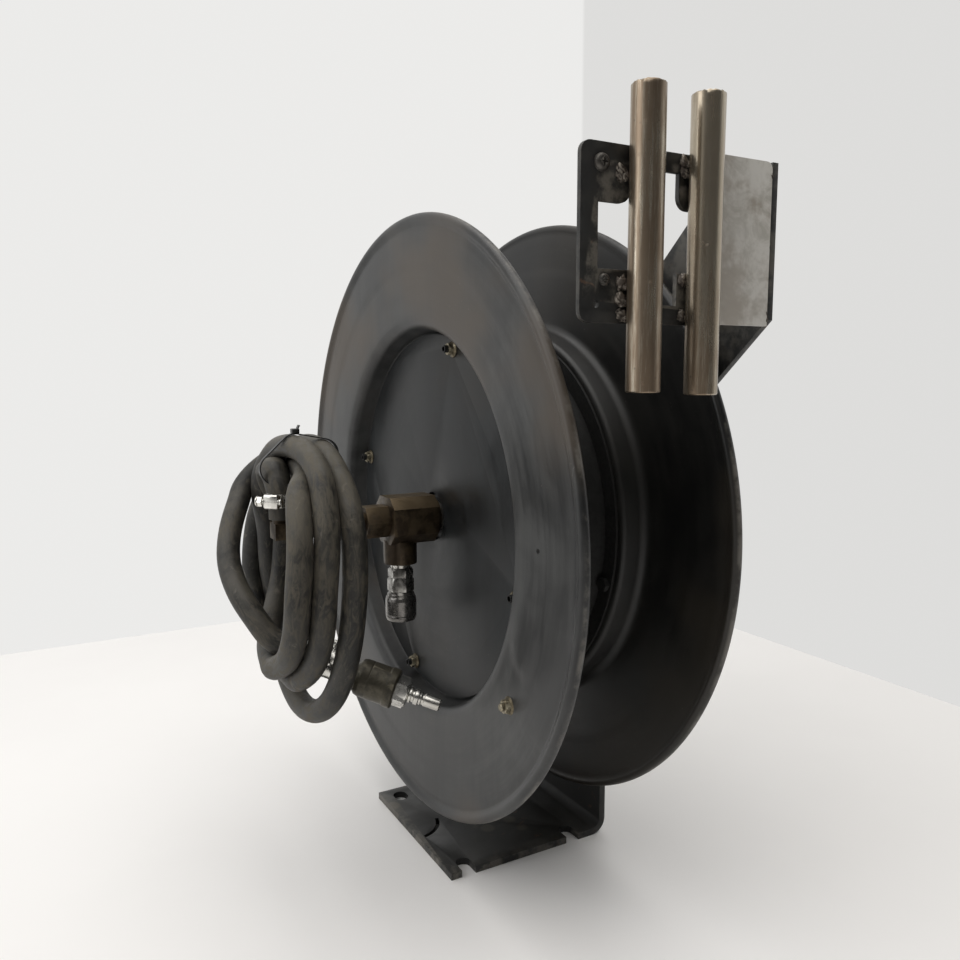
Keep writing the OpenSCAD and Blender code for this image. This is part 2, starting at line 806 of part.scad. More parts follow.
module air_plug() {
    color([0.75, 0.75, 0.74]) on_tail(30) difference() {
        union() {
            cylinder(r = 5.3, h = 42);
            translate([0, 0, 16]) cylinder(r = 6.4, h = 2);
            translate([0, 0, 21]) cylinder(r = 6.4, h = 3);
        }
        translate([0, 0, -cut]) cylinder(r = 3, h = 44);
    }
}

// Thin strap round the top of the coil, with its locking head above
module cable_tie() {
    y = -17;
    w = 4.6;
    t = 1.2;
    gap = 0.4;
    top_z = coil_z + coil_d / 2 + gap;
    low_z = coil_z + coil_in_r - 3;
    color([0.06, 0.06, 0.06]) {
        difference() {
            translate([coil_x0 - gap - t, y - w / 2, low_z - t])
                cube([coil_x1 - coil_x0 + 2 * (gap + t), w, top_z - low_z + 2 * t]);
            translate([coil_x0 - gap, y - w, low_z])
                cube([coil_x1 - coil_x0 + 2 * gap, 2 * w, top_z - low_z]);
        }
        translate([-179, y - 4, top_z + t]) cube([8, 8, 5]);
    }
}

base_post();
axle_flange();
flange_bolts();
axle();
axle_washer();
axle_nut();
guide_arm();
guide_frame();
guide_side_plate();
guide_tube_left();
guide_tube_right();
guide_screws();
guide_welds();
spring_arbor();
power_spring();
pawl_pin();
pawl_spring();
latch_pawl();
near_disc();
far_disc();
drum();
near_cover();
far_cover();
cover_bolts();
cover_nuts();
rim_bolt();
hub_tube();
near_bearing_ring();
near_bushing();
far_bearing_ring();
far_bushing();
spring_case();
spring_lid();
ratchet_wheel();
swivel_housing();
swivel_seals();
outlet_riser();
outlet_fitting();
inlet_tee();
tee_bushing();
inlet_nipple();
barb_elbow();
coupler_adapter();
coupler_body();
coupler_valve();
valve_spring();
coupler_sleeve();
sleeve_spring();
elbow_clamp();
hose_lead();
hose_coil();
hose_tail();
tail_clamp();
hose_end_body();
plug_nut();
air_plug();
cable_tie();
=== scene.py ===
"""Spring-rewind hose reel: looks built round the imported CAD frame.

Sizes of pieces are in millimetres. The camera, the floor, the lamps and the materials are in metres.
"""

import json
import math

import bmesh
import bpy
import numpy as np
from mathutils import Matrix, Vector, noise

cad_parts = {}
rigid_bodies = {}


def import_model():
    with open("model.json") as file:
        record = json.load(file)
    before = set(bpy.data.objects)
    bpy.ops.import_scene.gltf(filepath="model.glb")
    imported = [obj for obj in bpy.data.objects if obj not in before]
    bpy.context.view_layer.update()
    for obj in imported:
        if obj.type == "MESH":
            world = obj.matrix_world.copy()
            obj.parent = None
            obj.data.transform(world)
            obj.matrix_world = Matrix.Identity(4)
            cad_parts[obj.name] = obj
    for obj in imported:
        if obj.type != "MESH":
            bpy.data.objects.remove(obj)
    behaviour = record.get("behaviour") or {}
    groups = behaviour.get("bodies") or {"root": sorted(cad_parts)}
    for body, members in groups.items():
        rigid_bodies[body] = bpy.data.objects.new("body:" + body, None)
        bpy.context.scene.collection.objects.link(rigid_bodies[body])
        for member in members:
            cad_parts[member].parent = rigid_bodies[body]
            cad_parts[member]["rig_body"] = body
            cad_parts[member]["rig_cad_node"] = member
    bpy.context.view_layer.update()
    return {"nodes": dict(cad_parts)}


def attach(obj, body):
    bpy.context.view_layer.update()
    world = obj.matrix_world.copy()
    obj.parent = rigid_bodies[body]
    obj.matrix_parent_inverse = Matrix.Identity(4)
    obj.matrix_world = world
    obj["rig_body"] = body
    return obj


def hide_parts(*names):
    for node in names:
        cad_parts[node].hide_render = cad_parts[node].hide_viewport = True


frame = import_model()
MM = 0.001
AXLE_Z = 292.0
NEAR_RIM_X = -75.0
FAR_RIM_X = 52.0
NEAR_FLOOR_X = -54.0
FAR_FLOOR_X = 31.0
HOSE_R = 9.5

# ---------------------------------------------------------------- camera and lamps


def add_camera():
    cam = bpy.data.cameras.new("camera")
    cam.lens, cam.sensor_width = 31.75, 36.0
    obj = bpy.data.objects.new("camera", cam)
    bpy.context.scene.collection.objects.link(obj)
    right = Vector((0.87383, -0.48623, -0.00234))
    up = Vector((0.06298, 0.10841, 0.99211))
    back = -Vector((0.48214, 0.86708, -0.12535))
    obj.matrix_world = Matrix.Translation((-0.3743, -0.6604, 0.4161)) @ Matrix(
        (right, up, back)).transposed().to_4x4()
    bpy.context.scene.camera = obj


def area_light(name, place, target, size, power, tint):
    lamp = bpy.data.lights.new(name, "AREA")
    lamp.shape, lamp.size, lamp.size_y = "RECTANGLE", size[0], size[1]
    lamp.energy, lamp.color = power, tint
    obj = bpy.data.objects.new(name, lamp)
    bpy.context.scene.collection.objects.link(obj)
    obj.location = place
    obj.rotation_euler = (Vector(target) - Vector(place)).to_track_quat("-Z", "Y").to_euler()


add_camera()
bpy.context.scene.view_settings.view_transform = "Standard"

# ---------------------------------------------------------------- material building


class Mat:
    """A Principled material and short calls that add nodes to it."""

    def __init__(self, name, rough=0.5, metal=0.0, spec=0.5):
        self.m = bpy.data.materials.new(name)
        self.m.use_nodes = True
        self.t = self.m.node_tree
        self.shader = self.t.nodes["Principled BSDF"]
        self.shader.inputs["Roughness"].default_value = rough
        self.shader.inputs["Metallic"].default_value = metal
        self.shader.inputs["Specular IOR Level"].default_value = spec
        self.place = self.node("ShaderNodeTexCoord").outputs["Object"]

    def node(self, kind, setup=None, **inputs):
        n = self.t.nodes.new(kind)
        for key, value in (setup or {}).items():
            setattr(n, key, value)
        for key, value in inputs.items():
            self.put(n.inputs[key.replace("_", " ")], value)
        return n

    def put(self, socket, value):
        if isinstance(value, bpy.types.NodeSocket):
            self.t.links.new(value, socket)
        else:
            socket.default_value = value

    def noise(self, scale, detail=4.0, rough=0.6, stretch=None, coords=None, bend=0.0):
        coords = coords or self.place
        if stretch:
            mapping = self.node("ShaderNodeMapping", Scale=stretch)
            self.put(mapping.inputs["Vector"], coords)
            coords = mapping.outputs[0]
        return self.node("ShaderNodeTexNoise", Vector=coords, Scale=scale, Detail=detail,
                         Roughness=rough, Distortion=bend).outputs["Fac"]

    def cells(self, scale):
        return self.node("ShaderNodeTexVoronoi", Vector=self.place, Scale=scale).outputs["Distance"]

    def math(self, op, a, b=0.0):
        n = self.node("ShaderNodeMath", {"operation": op})
        for socket, value in zip(n.inputs, (a, b)):
            self.put(socket, value)
        return n.outputs[0]

    def step(self, value, low, high, out_low=0.0, out_high=1.0):
        """value from low..high to out_low..out_high, smooth and clamped."""
        n = self.node("ShaderNodeMapRange", {"interpolation_type": "SMOOTHSTEP"})
        for socket, number in zip(n.inputs, (value, low, high, out_low, out_high)):
            self.put(socket, number)
        return n.outputs[0]

    def mix(self, amount, a, b):
        n = self.node("ShaderNodeMix", {"data_type": "RGBA"})
        for socket, value in ((n.inputs[0], amount), (n.inputs[6], a), (n.inputs[7], b)):
            self.put(socket, (*value, 1.0) if isinstance(value, tuple) else value)
        return n.outputs[2]

    def split(self, coords=None):
        return self.node("ShaderNodeSeparateXYZ", Vector=coords or self.place).outputs

    def pointy(self, low, high):
        return self.step(self.node("ShaderNodeNewGeometry").outputs["Pointiness"], low, high)

    def up_facing(self, low, high):
        normal = self.split(self.node("ShaderNodeNewGeometry").outputs["Normal"])
        return self.step(normal[2], low, high)

    def polar(self):
        """(radius from the axle, vector whose streaks run round the axle)."""
        x, y, z = self.split()
        dz = self.math("SUBTRACT", z, AXLE_Z * MM)
        radius = self.math("SQRT", self.math("ADD", self.math("MULTIPLY", y, y),
                                             self.math("MULTIPLY", dz, dz)))
        ring = self.node("ShaderNodeCombineXYZ", X=self.math("MULTIPLY", radius, 60.0),
                         Y=self.math("MULTIPLY", self.math("DIVIDE", y, radius), 0.8),
                         Z=self.math("MULTIPLY", self.math("DIVIDE", dz, radius), 0.8)).outputs[0]
        return radius, ring

    def finish(self, color, rough=None, height=None, metal=None, depth=0.0005, strength=0.5):
        self.put(self.shader.inputs["Base Color"], color)
        if rough is not None:
            self.put(self.shader.inputs["Roughness"], rough)
        if metal is not None:
            self.put(self.shader.inputs["Metallic"], metal)
        if height is not None:
            bump = self.node("ShaderNodeBump", Height=height, Strength=strength, Distance=depth)
            self.put(self.shader.inputs["Normal"], bump.outputs["Normal"])
        return self.m


def blend_factor(m, low_high, *parts):
    """Sum of (value, weight) parts, stepped to 0..1."""
    total = None
    for value, weight in parts:
        term = m.math("MULTIPLY", value, weight)
        total = term if total is None else m.math("ADD", total, term)
    return m.step(total, *low_high)


def disc_paint(name, dark, light, brown, rim_wear, spec=0.45):
    """Satin black sheet: spun rings, rubbed patches, upright streaks and a worn rim."""
    m = Mat(name, rough=0.42, spec=spec)
    radius, ring = m.polar()
    blotch = m.noise(9.0, 6, 0.62, bend=0.6)
    cloud = m.noise(4.6, 3, 0.5)
    streaks = m.noise(7.0, 5, 0.6, stretch=(1, 6, 0.7))
    rings = m.noise(2.2, 6, 0.75, coords=ring)
    scuffs = m.step(m.noise(42.0, 4, 0.7, stretch=(1, 3.2, 0.6), bend=2.2), 0.69, 0.78)
    patches = m.step(m.noise(5.0, 2, 0.5), 0.5, 0.66)
    marks = m.math("MULTIPLY", scuffs, patches)
    color = m.mix(blend_factor(m, (0.85, 1.35), (blotch, 1.25), (streaks, 0.3), (rings, 0.65)),
                  dark, light)
    color = m.mix(m.math("MULTIPLY", m.step(cloud, 0.48, 0.6), 0.7), color, brown)
    color = m.mix(m.math("MULTIPLY", marks, 0.5), color, (0.2, 0.195, 0.185))
    specks = m.step(m.cells(150.0), 0.1, 0.03)
    dust = m.math("MULTIPLY", specks, m.step(m.noise(11.0, 3), 0.5, 0.62))
    color = m.mix(m.math("MULTIPLY", dust, 0.28), color, (0.22, 0.2, 0.17))
    edge = m.math("MULTIPLY", m.step(radius, 0.2522, 0.2536),
                  m.step(m.noise(30.0, 5, 0.7), 0.42, 0.62))
    color = m.mix(m.math("MULTIPLY", edge, rim_wear), color, (0.14, 0.13, 0.115))
    rough = m.step(m.math("ADD", m.math("MULTIPLY", rings, 0.35), m.math("MULTIPLY", blotch, 0.65)),
                   0.3, 0.7, 0.33, 0.52)
    height = m.math("ADD", m.math("MULTIPLY", m.noise(6.0, 2, 0.4), 2.5),
                    m.math("ADD", m.math("MULTIPLY", rings, 0.12),
                           m.math("MULTIPLY", m.noise(260.0, 2), 0.05)))
    return m.finish(color, rough, height, depth=0.0012, strength=0.4)


def frame_paint(name, base, dust_amount):
    """Black paint on plate: chipped bright edges, dust on the upper faces, small rusty spots."""
    m = Mat(name, rough=0.45, spec=0.45)
    blotch = m.noise(24.0, 6, 0.65, bend=0.8)
    color = m.mix(m.step(blotch, 0.35, 0.65), tuple(c * 0.75 for c in base),
                  tuple(c * 1.6 for c in base))
    lying = m.up_facing(0.4, 0.9)
    film = m.math("MULTIPLY", lying, m.step(m.noise(6.0, 4, 0.6), 0.42, 0.66))
    color = m.mix(m.math("MULTIPLY", film, dust_amount * 0.5), color, (0.09, 0.087, 0.076))
    prints = m.math("MULTIPLY", m.step(m.cells(34.0), 0.3, 0.18), m.step(m.noise(9.0, 2), 0.5, 0.58))
    color = m.mix(m.math("MULTIPLY", m.math("MULTIPLY", lying, prints), dust_amount), color,
                  (0.12, 0.108, 0.08))
    rust = m.math("MULTIPLY", m.step(m.noise(70.0, 4, 0.7, bend=1.5), 0.62, 0.7),
                  m.step(m.noise(9.0, 2), 0.5, 0.62))
    color = m.mix(m.math("MULTIPLY", rust, 0.6), color, (0.13, 0.07, 0.04))
    worn = m.math("MULTIPLY", m.pointy(0.525, 0.58), m.step(m.noise(55.0, 4, 0.7), 0.4, 0.6))
    color = m.mix(m.math("MULTIPLY", worn, 0.6), color, (0.17, 0.155, 0.13))
    rough = m.step(blotch, 0.3, 0.7, 0.36, 0.6)
    height = m.math("ADD", m.noise(120.0, 3, 0.6), m.math("MULTIPLY", m.noise(16.0, 2), 1.5))
    return m.finish(color, rough, height, depth=0.0004, strength=0.3)


def raw_steel(name, tones, rough, metal=0.9, rust=0.5):
    """Bare steel in three tones with drawn grain, stains and freckles of rust."""
    m = Mat(name, rough=rough, metal=metal)
    dark, mid, light = tones
    tint = m.noise(11.0, 4, 0.6, stretch=(1, 1, 0.5), bend=0.7)
    color = m.mix(m.step(tint, 0.36, 0.62), dark, mid)
    lines = m.noise(20.0, 5, 0.75, stretch=(14, 14, 0.8))
    color = m.mix(m.math("MULTIPLY", m.step(lines, 0.45, 0.7), 0.7), color, light)
    freckles = m.math("MULTIPLY", m.step(m.noise(110.0, 4, 0.7), 0.6, 0.7),
                      m.step(m.noise(17.0, 2), 0.45, 0.6))
    color = m.mix(m.math("MULTIPLY", freckles, rust), color, (0.1, 0.055, 0.03))
    spot = m.math("MULTIPLY", m.step(m.cells(190.0), 0.22, 0.08),
                  m.step(m.noise(23.0, 3), 0.5, 0.65))
    color = m.mix(m.math("MULTIPLY", spot, 0.4), color, (0.05, 0.045, 0.04))
    shine = m.step(m.math("ADD", m.math("MULTIPLY", tint, 0.6), m.math("MULTIPLY", lines, 0.4)),
                   0.35, 0.65, rough + 0.14, rough - 0.06)
    shine = m.math("ADD", shine, m.math("MULTIPLY", freckles, 0.24))
    height = m.math("ADD", m.math("MULTIPLY", lines, 0.6), m.noise(90.0, 3, 0.6))
    metalness = m.step(freckles, 0.2, 0.9, metal, metal * 0.35)
    return m.finish(color, shine, height, metal=metalness, depth=0.0003, strength=0.25)


def dirty_metal(name, dark, light, edge, rough, metal=0.85, grime=0.7, scale=1.0, bumps=0.35,
                top=None):
    """Fittings: patches of grime, brighter rubbed edges (on brass partly a painted highlight), and, if
    top is given, painted light: that colour on up-facing faces.
    """
    m = Mat(name, rough=rough, metal=metal)
    cloud = m.noise(60.0 * scale, 5, 0.65, bend=0.5)
    color = m.mix(m.step(cloud, 0.34, 0.66), dark, light)
    worn = m.math("MULTIPLY", m.pointy(0.51, 0.6), m.step(m.noise(180.0 * scale, 3), 0.35, 0.6))
    color = m.mix(worn, color, edge)
    dirt = m.step(m.noise(140.0 * scale, 4, 0.7), 0.5, 0.66)
    color = m.mix(m.math("MULTIPLY", dirt, grime), color, tuple(c * 0.35 for c in dark))
    # Painted light: up-facing faces take the top colour, lighter as if lit from above.
    if top:
        color = m.mix(m.math("MULTIPLY", m.up_facing(0.3, 0.8), 0.8), color, top)
    vary = bumps / 0.35
    shine = m.step(cloud, 0.3, 0.7, rough + 0.12 * vary, rough - 0.08 * vary)
    shine = m.math("ADD", shine, m.math("MULTIPLY", dirt, 0.15 * vary))
    height = m.math("ADD", m.noise(420.0, 3), m.math("MULTIPLY", cloud, 1.5))
    metalness = m.step(dirt, 0.0, 1.0, metal, metal * (1 - 0.6 * grime))
    return m.finish(color, shine, height, metal=metalness, depth=0.00025, strength=bumps)


def zinc_plate(name):
    """Dull grey plate with pale and brown blotches and scratches."""
    m = Mat(name, rough=0.5, metal=0.35)
    blotch = m.noise(34.0, 6, 0.7, bend=1.2)
    color = m.mix(m.step(blotch, 0.36, 0.62), (0.38, 0.36, 0.31), (0.64, 0.62, 0.57))
    color = m.mix(m.math("MULTIPLY", m.step(m.noise(15.0, 5, 0.7), 0.47, 0.6), 0.85), color,
                  (0.23, 0.18, 0.125))
    scratch = m.step(m.noise(24.0, 4, 0.7, stretch=(7, 1, 0.8), bend=0.6), 0.66, 0.74)
    color = m.mix(m.math("MULTIPLY", scratch, 0.5), color, (0.5, 0.49, 0.46))
    edge = m.math("MULTIPLY", m.pointy(0.51, 0.58), 0.6)
    color = m.mix(edge, color, (0.55, 0.53, 0.5))
    rough = m.step(blotch, 0.3, 0.7, 0.6, 0.42)
    return m.finish(color, rough, m.noise(80.0, 5, 0.7), depth=0.0003, strength=0.3)


def hose_rubber(name):
    """Rubber cover: tan dust in patches and on top, rubbed spots, nicks, fine moulding lines."""
    m = Mat(name, rough=0.62, spec=0.35)
    uv = m.node("ShaderNodeUVMap").outputs["UV"]
    cloud = m.noise(19.0, 6, 0.65, bend=1.0)
    smear = m.noise(5.0, 6, 0.7, stretch=(1.6, 2.6, 1), coords=uv, bend=0.9)
    color = m.mix(m.step(cloud, 0.34, 0.66), (0.014, 0.0137, 0.0125), (0.036, 0.034, 0.029))
    dusty = blend_factor(m, (0.46, 0.62), (smear, 0.6), (m.noise(8.0, 3), 0.4))
    color = m.mix(m.math("MULTIPLY", dusty, 0.8), color, (0.1, 0.088, 0.067))
    bloom = m.math("MULTIPLY", m.up_facing(0.0, 1.0), m.step(cloud, 0.36, 0.6))
    color = m.mix(m.math("MULTIPLY", bloom, 0.6), color, (0.11, 0.099, 0.078))
    rub = m.step(m.noise(70.0, 5, 0.75, bend=1.0), 0.6, 0.7)
    color = m.mix(m.math("MULTIPLY", rub, 0.5), color, (0.16, 0.145, 0.118))
    nicks = m.step(m.cells(330.0), 0.14, 0.05)
    color = m.mix(m.math("MULTIPLY", nicks, 0.35), color, (0.012, 0.012, 0.012))
    grain = m.noise(30.0, 4, 0.6, stretch=(0.3, 12, 1), coords=uv)
    height = m.math("ADD", m.math("MULTIPLY", grain, 0.6), m.noise(300.0, 4, 0.7))
    return m.finish(color, m.step(dusty, 0.0, 1.0, 0.5, 0.8), height, depth=0.0004, strength=0.35)


def plain_plastic(name, color, rough):
    """One dark colour with a fine, faint mottle."""
    m = Mat(name, rough=rough)
    tone = m.step(m.noise(120.0, 4), 0.35, 0.65)
    return m.finish(m.mix(tone, tuple(c * 0.7 for c in color), tuple(c * 1.5 for c in color)),
                    m.step(m.noise(300.0, 2), 0.3, 0.7, rough - 0.08, rough + 0.1),
                    m.noise(500.0, 2), depth=0.0001, strength=0.3)


MATS = {
    "disc": disc_paint("disc_black", (0.009, 0.0095, 0.01), (0.05, 0.051, 0.05),
                       (0.058, 0.043, 0.029), 0.9),
    "cover": disc_paint("cover_black", (0.006, 0.0065, 0.007), (0.021, 0.023, 0.024),
                        (0.018, 0.016, 0.013), 0.0, 0.3),
    # Painted shade: inner is a darker copy of the disc paint, for the far disc and the parts inside the
    # spool that sit in shade.
    "inner": disc_paint("disc_black_painted_shade", (0.005, 0.005, 0.005), (0.014, 0.0135, 0.012),
                        (0.022, 0.018, 0.013), 0.9, 0.4),
    "frame": frame_paint("frame_black", (0.011, 0.011, 0.0105), 0.5),
    "tube": raw_steel("tube_steel", ((0.225, 0.17, 0.12), (0.4, 0.345, 0.265), (0.6, 0.55, 0.45)),
                      0.22, 0.88),
    "screw": dirty_metal("screw_steel", (0.05, 0.047, 0.042), (0.12, 0.11, 0.1), (0.32, 0.3, 0.27),
                         0.4, 0.85),
    "machined": raw_steel("machined_steel", ((0.2, 0.19, 0.18), (0.34, 0.33, 0.31), (0.5, 0.49, 0.47)),
                          0.36, rust=0.2),
    "spring": raw_steel("spring_steel", ((0.1, 0.1, 0.11), (0.2, 0.2, 0.215), (0.35, 0.35, 0.36)),
                        0.34, rust=0.1),
    "weld": dirty_metal("weld_metal", (0.045, 0.036, 0.03), (0.12, 0.1, 0.085), (0.3, 0.27, 0.23),
                        0.55, 0.7),
    "plate": zinc_plate("zinc_plate"),
    "fastener": dirty_metal("olive_zinc", (0.07, 0.058, 0.036), (0.19, 0.16, 0.105), (0.42, 0.38, 0.28),
                            0.42, 0.8),
    # Brass edge colour: partly rubbed brass, partly a painted highlight on chamfered corners. Its top
    # colour is painted light on up-facing faces.
    "brass": dirty_metal("tarnished_brass", (0.02, 0.013, 0.008), (0.05, 0.035, 0.021),
                         (0.18, 0.135, 0.08), 0.38, 0.7, 0.4, 0.5, 0.25, (0.16, 0.118, 0.068)),
    "bush": dirty_metal("bearing_bronze", (0.2, 0.13, 0.06), (0.34, 0.24, 0.12), (0.5, 0.38, 0.2),
                        0.4, 0.9, 0.3),
    "coupler": dirty_metal("coupler_steel", (0.14, 0.135, 0.125), (0.22, 0.21, 0.2), (0.5, 0.49, 0.46),
                           0.27, 0.95, 0.15, 0.8, 0.06),
    "olive": dirty_metal("olive_fitting", (0.04, 0.036, 0.026), (0.095, 0.085, 0.062),
                         (0.2, 0.18, 0.13), 0.42, 0.6, 0.5, 0.7),
    "bright": dirty_metal("bright_plating", (0.5, 0.485, 0.45), (0.66, 0.65, 0.61), (0.82, 0.81, 0.77),
                          0.26, 1.0, 0.1, 0.8, 0.04),
    "hose": hose_rubber("hose_rubber"),
    # Painted shade: a near-black colour for the drum, hub tube, cover bolts and near bushing, which sit
    # in shade inside the spool.
    "painted_shade_black": plain_plastic("drum_painted_shade_black", (0.005, 0.005, 0.0045), 0.6),
    "seal": plain_plastic("seal_rubber", (0.015, 0.015, 0.015), 0.6),
    "tie": plain_plastic("tie_nylon", (0.012, 0.012, 0.012), 0.38),
}

# ---------------------------------------------------------------- mesh building


def finish_piece(obj, mat, slot, body, replaces):
    """Gives a piece its material and body, and hides the CAD nodes that it stands for. slot is not
    used.
    """
    obj.data.materials.clear()
    obj.data.materials.append(MATS[mat])
    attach(obj, body)
    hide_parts(*replaces)
    return obj


def shade(mesh, angle=35):
    mesh.shade_smooth()
    mesh.set_sharp_from_angle(angle=math.radians(angle))


def new_object(name, verts, faces, angle=35, weld=True):
    """verts in millimetres. Merges doubles, sets outward normals and shades by angle."""
    mesh = bpy.data.meshes.new(name)
    mesh.from_pydata([tuple(c * MM for c in v) for v in verts], [], faces)
    if weld:
        bm = bmesh.new()
        bm.from_mesh(mesh)
        bmesh.ops.remove_doubles(bm, verts=bm.verts, dist=2e-6)
        bmesh.ops.dissolve_degenerate(bm, edges=bm.edges, dist=1e-7)
        bmesh.ops.recalc_face_normals(bm, faces=bm.faces)
        bm.to_mesh(mesh)
        bm.free()
    shade(mesh, angle)
    obj = bpy.data.objects.new(name, mesh)
    bpy.context.scene.collection.objects.link(obj)
    return obj


def grid_faces(rows, around, closed=False):
    """Faces between rings of around points. closed joins the last ring to the first."""
    faces = []
    for i in range(rows if closed else rows - 1):
        j = (i + 1) % rows
        for k in range(around):
            q = (k + 1) % around
            faces.append((i * around + k, i * around + q, j * around + q, j * around + k))
    return faces


def cap_faces(rows, around):
    """The two ends of a grid of rings."""
    last = (rows - 1) * around
    return [tuple(range(around - 1, -1, -1)), tuple(range(last, last + around))]


def lathe_data(profile, segs, place, warp=None):
    """Verts and faces of a closed (radius, height) loop turned about place's local Z.

    warp moves a point in mm.
    """
    verts = []
    for k in range(segs):
        a = 2 * math.pi * k / segs
        for r, h in profile:
            p = place @ Vector((r * math.cos(a), r * math.sin(a), h))
            verts.append(warp(p) if warp else p)
    return verts, grid_faces(segs, len(profile), True)


def lathe(name, profile, place, segs, warp=None, angle=35):
    return new_object(name, *lathe_data(profile, segs, place, warp), angle=angle)


def joined(name, parts, angle=35):
    """One object from several (verts, faces) groups."""
    verts, faces = [], []
    for v, f in parts:
        base = len(verts)
        verts += v
        faces += [tuple(i + base for i in face) for face in f]
    return new_object(name, verts, faces, angle=angle)


def axis_frame(point, direction):
    """Local Z along direction, from point."""
    return Matrix.Translation(point) @ Vector(direction).to_track_quat("Z", "X").to_matrix().to_4x4()


def along_axle(x):
    """Local Z along the axle, towards +X."""
    return Matrix.Translation((x, 0, AXLE_Z)) @ Matrix.Rotation(math.radians(90), 4, "Y")


def rounded(profile, radius=0.6, steps=3):
    """Rounds every corner of a closed (radius, height) loop, except those on the axis."""
    out = []
    n = len(profile)
    for i in range(n):
        p, a, b = (Vector(profile[j % n]) for j in (i, i - 1, i + 1))
        if p.x < 1e-6:
            out.append(tuple(p))
            continue
        cut = min(radius, (a - p).length * 0.45, (b - p).length * 0.45)
        start, end = p + (a - p).normalized() * cut, p + (b - p).normalized() * cut
        for s in range(steps + 1):
            t = s / steps
            q = (1 - t) ** 2 * start + 2 * t * (1 - t) * p + t * t * end
            out.append(tuple(q))
    return out


def softened(node, mat, slot, width):
    """A copy of a CAD node with its edges bevelled by width, standing for the node."""
    source = frame["nodes"][node]
    obj = source.copy()
    obj.data = source.data.copy()
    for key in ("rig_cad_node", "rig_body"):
        if key in obj:
            del obj[key]
    obj.parent = None
    obj.name = node + "_piece"
    bpy.context.scene.collection.objects.link(obj)
    mesh = obj.data
    for attribute in [a.name for a in mesh.attributes if a.name in ("custom_normal", "sharp_edge")]:
        mesh.attributes.remove(mesh.attributes[attribute])
    bm = bmesh.new()
    bm.from_mesh(mesh)
    bmesh.ops.remove_doubles(bm, verts=bm.verts, dist=2e-6)
    bmesh.ops.dissolve_limit(bm, angle_limit=math.radians(0.5), verts=bm.verts, edges=bm.edges)
    sharp = [e for e in bm.edges
             if len(e.link_faces) == 2 and e.calc_face_angle(0) > math.radians(30)]
    bmesh.ops.bevel(bm, geom=sharp, offset=width * MM, segments=2, profile=0.6,
                    affect="EDGES", clamp_overlap=True)
    bmesh.ops.remove_doubles(bm, verts=bm.verts, dist=1e-6)
    bm.to_mesh(mesh)
    bm.free()
    shade(mesh, 32)
    body = frame["nodes"][node]["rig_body"]
    return finish_piece(obj, mat, slot, body, (node,))


def catmull(points, spacing):
    """Points every spacing mm along a smooth curve through points."""
    p = np.array(points, float)
    p = np.vstack([2 * p[0] - p[1], p, 2 * p[-1] - p[-2]])
    fine = []
    for i in range(1, len(p) - 2):
        a, b, c, d = p[i - 1:i + 3]
        for t in np.linspace(0, 1, 24, endpoint=False):
            fine.append(0.5 * (2 * b + (c - a) * t + (2 * a - 5 * b + 4 * c - d) * t ** 2
                               + (3 * b - a - 3 * c + d) * t ** 3))
    fine.append(p[-2])
    return resample(np.array(fine), spacing)


def resample(p, spacing):
    """Evenly spaced points along a line of points."""
    length = np.r_[0, np.cumsum(np.linalg.norm(np.diff(p, axis=0), axis=1))]
    count = max(2, int(round(length[-1] / spacing)) + 1)
    at = np.linspace(0, length[-1], count)
    return np.stack([np.interp(at, length, p[:, k]) for k in range(3)], 1)


def tube_data(path, radius, segs, squash):
    """Swept tube with capped ends: verts, faces and (along, round) for each vertex.

    squash gives the (width, thickness) factors at a distance along the path.
    """
    path = np.array(path, float)
    heading = np.gradient(path, axis=0)
    heading /= np.linalg.norm(heading, axis=1)[:, None]
    side = np.cross(heading[0], (0.31, 1, 0.17))
    verts, rows, gone = [], [], 0.0
    for i, (p, t) in enumerate(zip(path, heading)):
        side = side - (side @ t) * t
        side /= np.linalg.norm(side)
        other = np.cross(t, side)
        if i:
            gone += np.linalg.norm(p - path[i - 1])
        wide, thick = squash(gone)
        for k in range(segs):
            a = 2 * math.pi * k / segs
            v = p + radius * (math.cos(a) * wide * side + math.sin(a) * thick * other)
            verts.append(Vector(v))
            rows.append((gone, k / segs))
    return verts, grid_faces(len(path), segs) + cap_faces(len(path), segs), rows


# ---------------------------------------------------------------- inlet hose

# Lead out of the elbow, arching back and down, to the bottom of the first turn
HOSE_LEAD = [(-189, 0, 301), (-189, 0, 313), (-189.5, 0, 324), (-190, 2, 334), (-190.5, 10, 341.5),
             (-190, 24, 344), (-187, 40, 339), (-181, 54, 326), (-174, 65, 306), (-169, 72, 284),
             (-168, 74, 252), (-172, 71, 230), (-181, 60, 211), (-190, 42, 195), (-197, 22, 187)]
